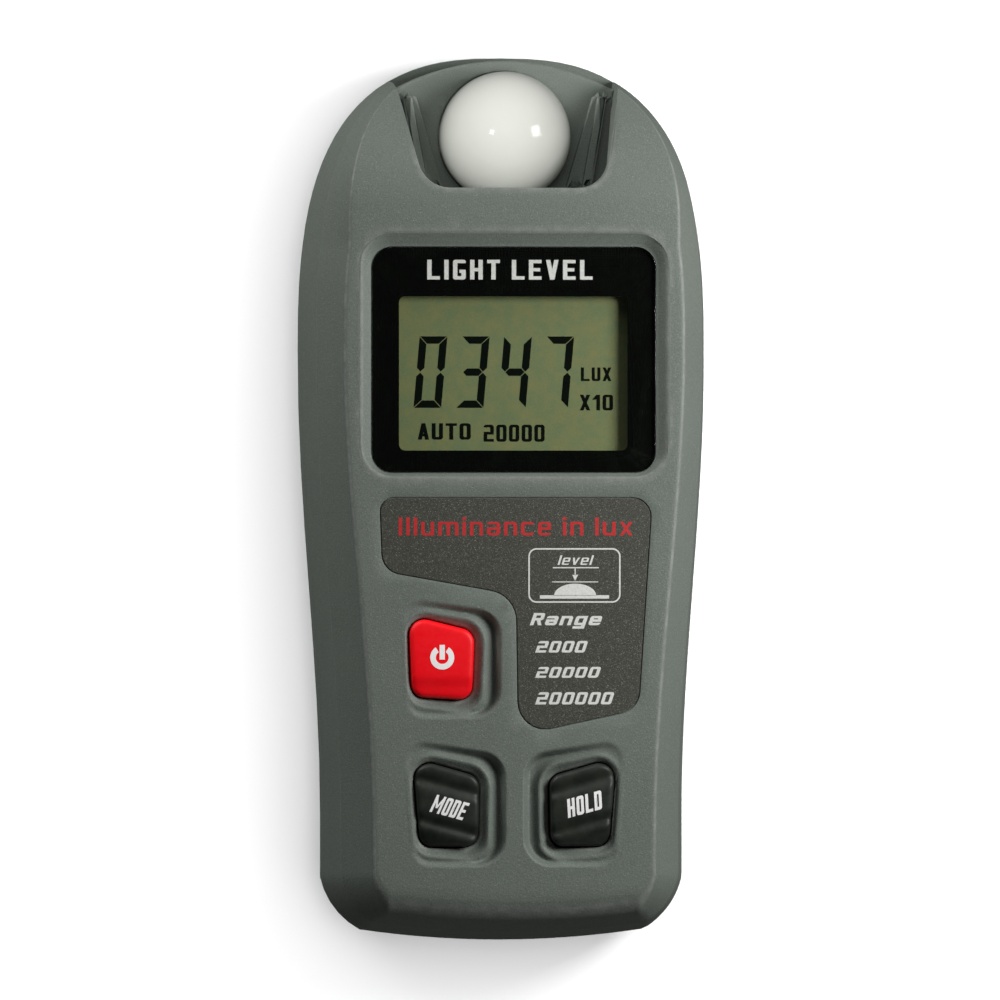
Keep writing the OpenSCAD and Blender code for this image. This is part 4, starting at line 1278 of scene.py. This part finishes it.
def finish_node(node, look, bevel):
    """Gives a CAD node its material and breaks its edges with a small radius."""
    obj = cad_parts[node]
    obj.data.materials.clear()
    obj.data.materials.append(look)
    if bevel or node in ROUND_NODES:
        obj.data.shade_smooth()
    modify(obj, "WELD", merge_threshold=WELD_GAP * MM)
    modify(obj, "DECIMATE", decimate_type="DISSOLVE", angle_limit=FLAT_ANGLE)
    if bevel:
        modify(obj, "BEVEL", width=bevel * MM, segments=2, limit_method="ANGLE", angle_limit=EDGE_ANGLE)
        modify(obj, "WEIGHTED_NORMAL", weight=100, keep_sharp=False)


# ---- the object ----

case_look = case_plastic()
lower_look = lower_plastic()
white_ink = print_ink("white_ink", (0.88, 0.88, 0.84), (0.70, 0.70, 0.66))
key_ink = print_ink("key_ink", (0.97, 0.97, 0.95), (0.9, 0.9, 0.88))
red_ink = print_ink("red_ink", (0.62, 0.03, 0.03), (0.45, 0.02, 0.02))
lcd_ink = print_ink("lcd_ink", (0.002, 0.004, 0.002), (0.004, 0.007, 0.004), 0.05)
red_look = rubber("red_rubber", (0.93, 0.003, 0.009), (0.97, 0.005, 0.013))
black_look = rubber("black_rubber", (0.014, 0.017, 0.013), (0.028, 0.031, 0.025))

front_cover(case_look)
seat = sensor_seat(lower_look)
dome = opal_dome(opal())
KEY_SHAPES = [("power", red_look, POWER_CORNERS, POWER_LEGEND),
              ("mode", black_look, MODE_CORNERS, MODE_LEGEND),
              ("hold", black_look, HOLD_CORNERS, HOLD_LEGEND)]
caps = [key(*shape) for shape in KEY_SHAPES]
for name, look, corners, _ in KEY_SHAPES:
    skirt(name, look, corners)
lcd_print(lcd_ink)
window_print(white_ink)
label_print(red_ink, white_ink)
legends = key_prints(key_ink)

steel = metal("spring_steel", (0.55, 0.55, 0.54), (0.42, 0.42, 0.41), 0.3)
zinc = metal("zinc_screw", (0.60, 0.60, 0.58), (0.42, 0.42, 0.40), 0.35)
tin = metal("tin", (0.66, 0.66, 0.64), (0.50, 0.50, 0.49), 0.28)
brass = metal("brass", (0.70, 0.52, 0.24), (0.52, 0.38, 0.16), 0.3)
white_part = moulded("white_plastic", (0.66, 0.66, 0.62), (0.58, 0.58, 0.54))
chip = moulded("chip_black", (0.012, 0.012, 0.013), (0.024, 0.024, 0.026), 0.5, 0.2)
jacket = cell_jacket()
board = board_green()
PLAIN_NODES = [
    ("rear_cover", lower_look, 0.15), ("battery_door", lower_look, 0.15),
    ("display_window", clear_window(), 0.08), ("window_mask", black_print(), 0),
    ("label_overlay", label_film(), 0.06), ("lcd_polarizer", lcd_film(), 0),
    ("lcd_glass", moulded("lcd_cell", (0.32, 0.36, 0.28), (0.26, 0.30, 0.23), 0.2), 0.08),
    ("lcd_reflector", metal("reflector_foil", (0.6, 0.61, 0.55), (0.5, 0.51, 0.46), 0.4), 0),
    ("lcd_frame", white_part, 0.15),
    ("zebra_strips", moulded("pink_elastomer", (0.62, 0.25, 0.22), (0.52, 0.2, 0.18)), 0.08),
    ("main_board", board, 0.08), ("sensor_board", board, 0.08),
    ("mcu_chip", chip, 0.05), ("opamp_chip", chip, 0.05), ("crystal", tin, 0.1),
    ("capacitors", metal("aluminium_can", (0.62, 0.62, 0.62), (0.5, 0.5, 0.5), 0.32), 0.15),
    ("trimmers", moulded("trimmer_blue", (0.03, 0.12, 0.42), (0.02, 0.09, 0.33), 0.35), 0.08),
    ("resistors", chip, 0.05), ("keypad_mat", black_look, 0.1),
    ("power_pill", chip, 0.06), ("mode_pill", chip, 0.06), ("hold_pill", chip, 0.06),
    ("green_filter", moulded("green_glass", (0.05, 0.22, 0.09), (0.04, 0.17, 0.07), 0.12), 0.1),
    ("photodiode", tin, 0.1), ("sensor_screws", zinc, 0.08), ("case_screws", zinc, 0.1),
    ("board_screws", zinc, 0.08), ("tripod_bush", brass, 0.2),
    ("sensor_lead", moulded("grey_wire", (0.5, 0.5, 0.47), (0.42, 0.42, 0.4)), 0),
    ("red_lead", moulded("red_wire", (0.5, 0.03, 0.03), (0.4, 0.02, 0.02)), 0),
    ("black_lead", moulded("black_wire", (0.02, 0.02, 0.02), (0.03, 0.03, 0.03)), 0),
    ("battery_springs", steel, 0), ("battery_contacts", tin, 0.08),
    ("cell_left", jacket, 0.3), ("cell_middle", jacket, 0.3), ("cell_right", jacket, 0.3),
]
for node, look, bevel in PLAIN_NODES:
    finish_node(node, look, bevel)

# ---- floor, lights and camera ----

floor_look = Look("floor", (0.86, 0.86, 0.86), 0.8)
# Seen directly the floor is pale, but it throws little light back up at the object
seen = floor_look.add("LightPath")
paper = floor_look.mix(floor_look.noise(60, 2), (0.86, 0.86, 0.86), (0.88, 0.88, 0.88))
floor_look.colour(seen.outputs["Is Camera Ray"], (0.02, 0.02, 0.02), paper)
mesh = bpy.data.meshes.new("floor")
mesh.from_pydata([(x * FLOOR_HALF, y * FLOOR_HALF, 0) for x, y in bar(-1, 1, -1, 1)], [], [(0, 1, 2, 3)])
mesh.materials.append(floor_look.material)
floor = bpy.data.objects.new("floor", mesh)
bpy.context.collection.objects.link(floor)


def area_light(name, direction, reach, size, power):
    """A square soft light that looks at the middle of the object."""
    data = bpy.data.lights.new(name, "AREA")
    data.shape = "RECTANGLE"
    data.size, data.size_y = size
    data.energy = power
    obj = bpy.data.objects.new(name, data)
    way = Vector(direction).normalized()
    obj.location = way * reach
    obj.rotation_mode = "QUATERNION"
    obj.rotation_quaternion = way.to_track_quat("Z", "Y")
    obj.visible_camera = False
    bpy.context.collection.objects.link(obj)
    return obj


def only_for(light, *objects):
    """Makes a light reach only some objects, with nothing in its way."""
    lit = bpy.data.collections.new("lit_by_" + light.name)
    for obj in objects:
        lit.objects.link(obj)
    light.light_linking.receiver_collection = lit
    light.light_linking.blocker_collection = bpy.data.collections.new("shades_" + light.name)


def not_for(light, obj):
    """Keeps a light off one object."""
    shut = bpy.data.collections.new("not_lit_by_" + light.name)
    shut.objects.link(obj)
    shut.collection_objects[0].light_linking.link_state = "EXCLUDE"
    light.light_linking.receiver_collection = shut


# The dome has lights of its own, as an opal moulding is evenly bright and mirrors two small sources
not_for(area_light("key", (0.9, 0.32, 0.9), 0.23, (0.1, 0.1), 0.48), dome)
not_for(area_light("top", (-0.05, 0.85, 0.5), 0.9, (0.8, 0.3), 0.78), dome)
not_for(area_light("left", (-0.8, 0.8, 0.2), 0.38, (0.2, 0.1), 0.8), dome)
not_for(area_light("low_fill", (0.2, -1, 0.16), 0.8, (0.6, 0.3), 0.45), dome)
only_for(area_light("wash", (0, 0, 1), 2, (3, 3), 74), floor)
only_for(area_light("seat_fill", (-0.2, 0.5, 1), 1, (0.8, 0.8), 2.5), seat)
only_for(area_light("cap_sheen", (-0.35, 0.72, 0.66), 0.5, (0.3, 0.16), 0.6), *caps, *legends)
front = area_light("dome_front", (-0.22, 0.32, 1), 1, (0.6, 0.6), 9.8)
front.visible_glossy = False
only_for(front, dome)
only_for(area_light("dome_window", (0.75, 0.2, 0.64), 1, (0.28, 0.28), 1.4), dome)
only_for(area_light("dome_spot", (-0.48, 0.18, 0.87), 1, (0.11, 0.11), 0.5), dome)

world = bpy.data.worlds.new("studio")
world.use_nodes = True
world.node_tree.nodes["Background"].inputs["Color"].default_value = (1, 1, 1, 1)
world.node_tree.nodes["Background"].inputs["Strength"].default_value = WORLD_STRENGTH
bpy.context.scene.world = world
bpy.context.scene.view_settings.view_transform = "Standard"

# A long lens a little to the left of straight overhead
LENS_REACH = 2.5
FIELD = 0.1475
AIM = Vector((-0.2, -0.15, 10)) * MM
camera_data = bpy.data.cameras.new("camera")
camera_data.sensor_width = 36
camera_data.lens = camera_data.sensor_width * LENS_REACH / FIELD
camera_data.clip_end = 20
camera = bpy.data.objects.new("camera", camera_data)
back = Vector((-0.11, 0, 1)).normalized()
camera.location = AIM + back * LENS_REACH
up = Vector((0, 1, 0))
right = up.cross(back).normalized()
turn = Matrix((right, back.cross(right), back)).transposed().to_4x4()
camera.matrix_world = Matrix.Translation(camera.location) @ turn
bpy.context.collection.objects.link(camera)
bpy.context.scene.camera = camera
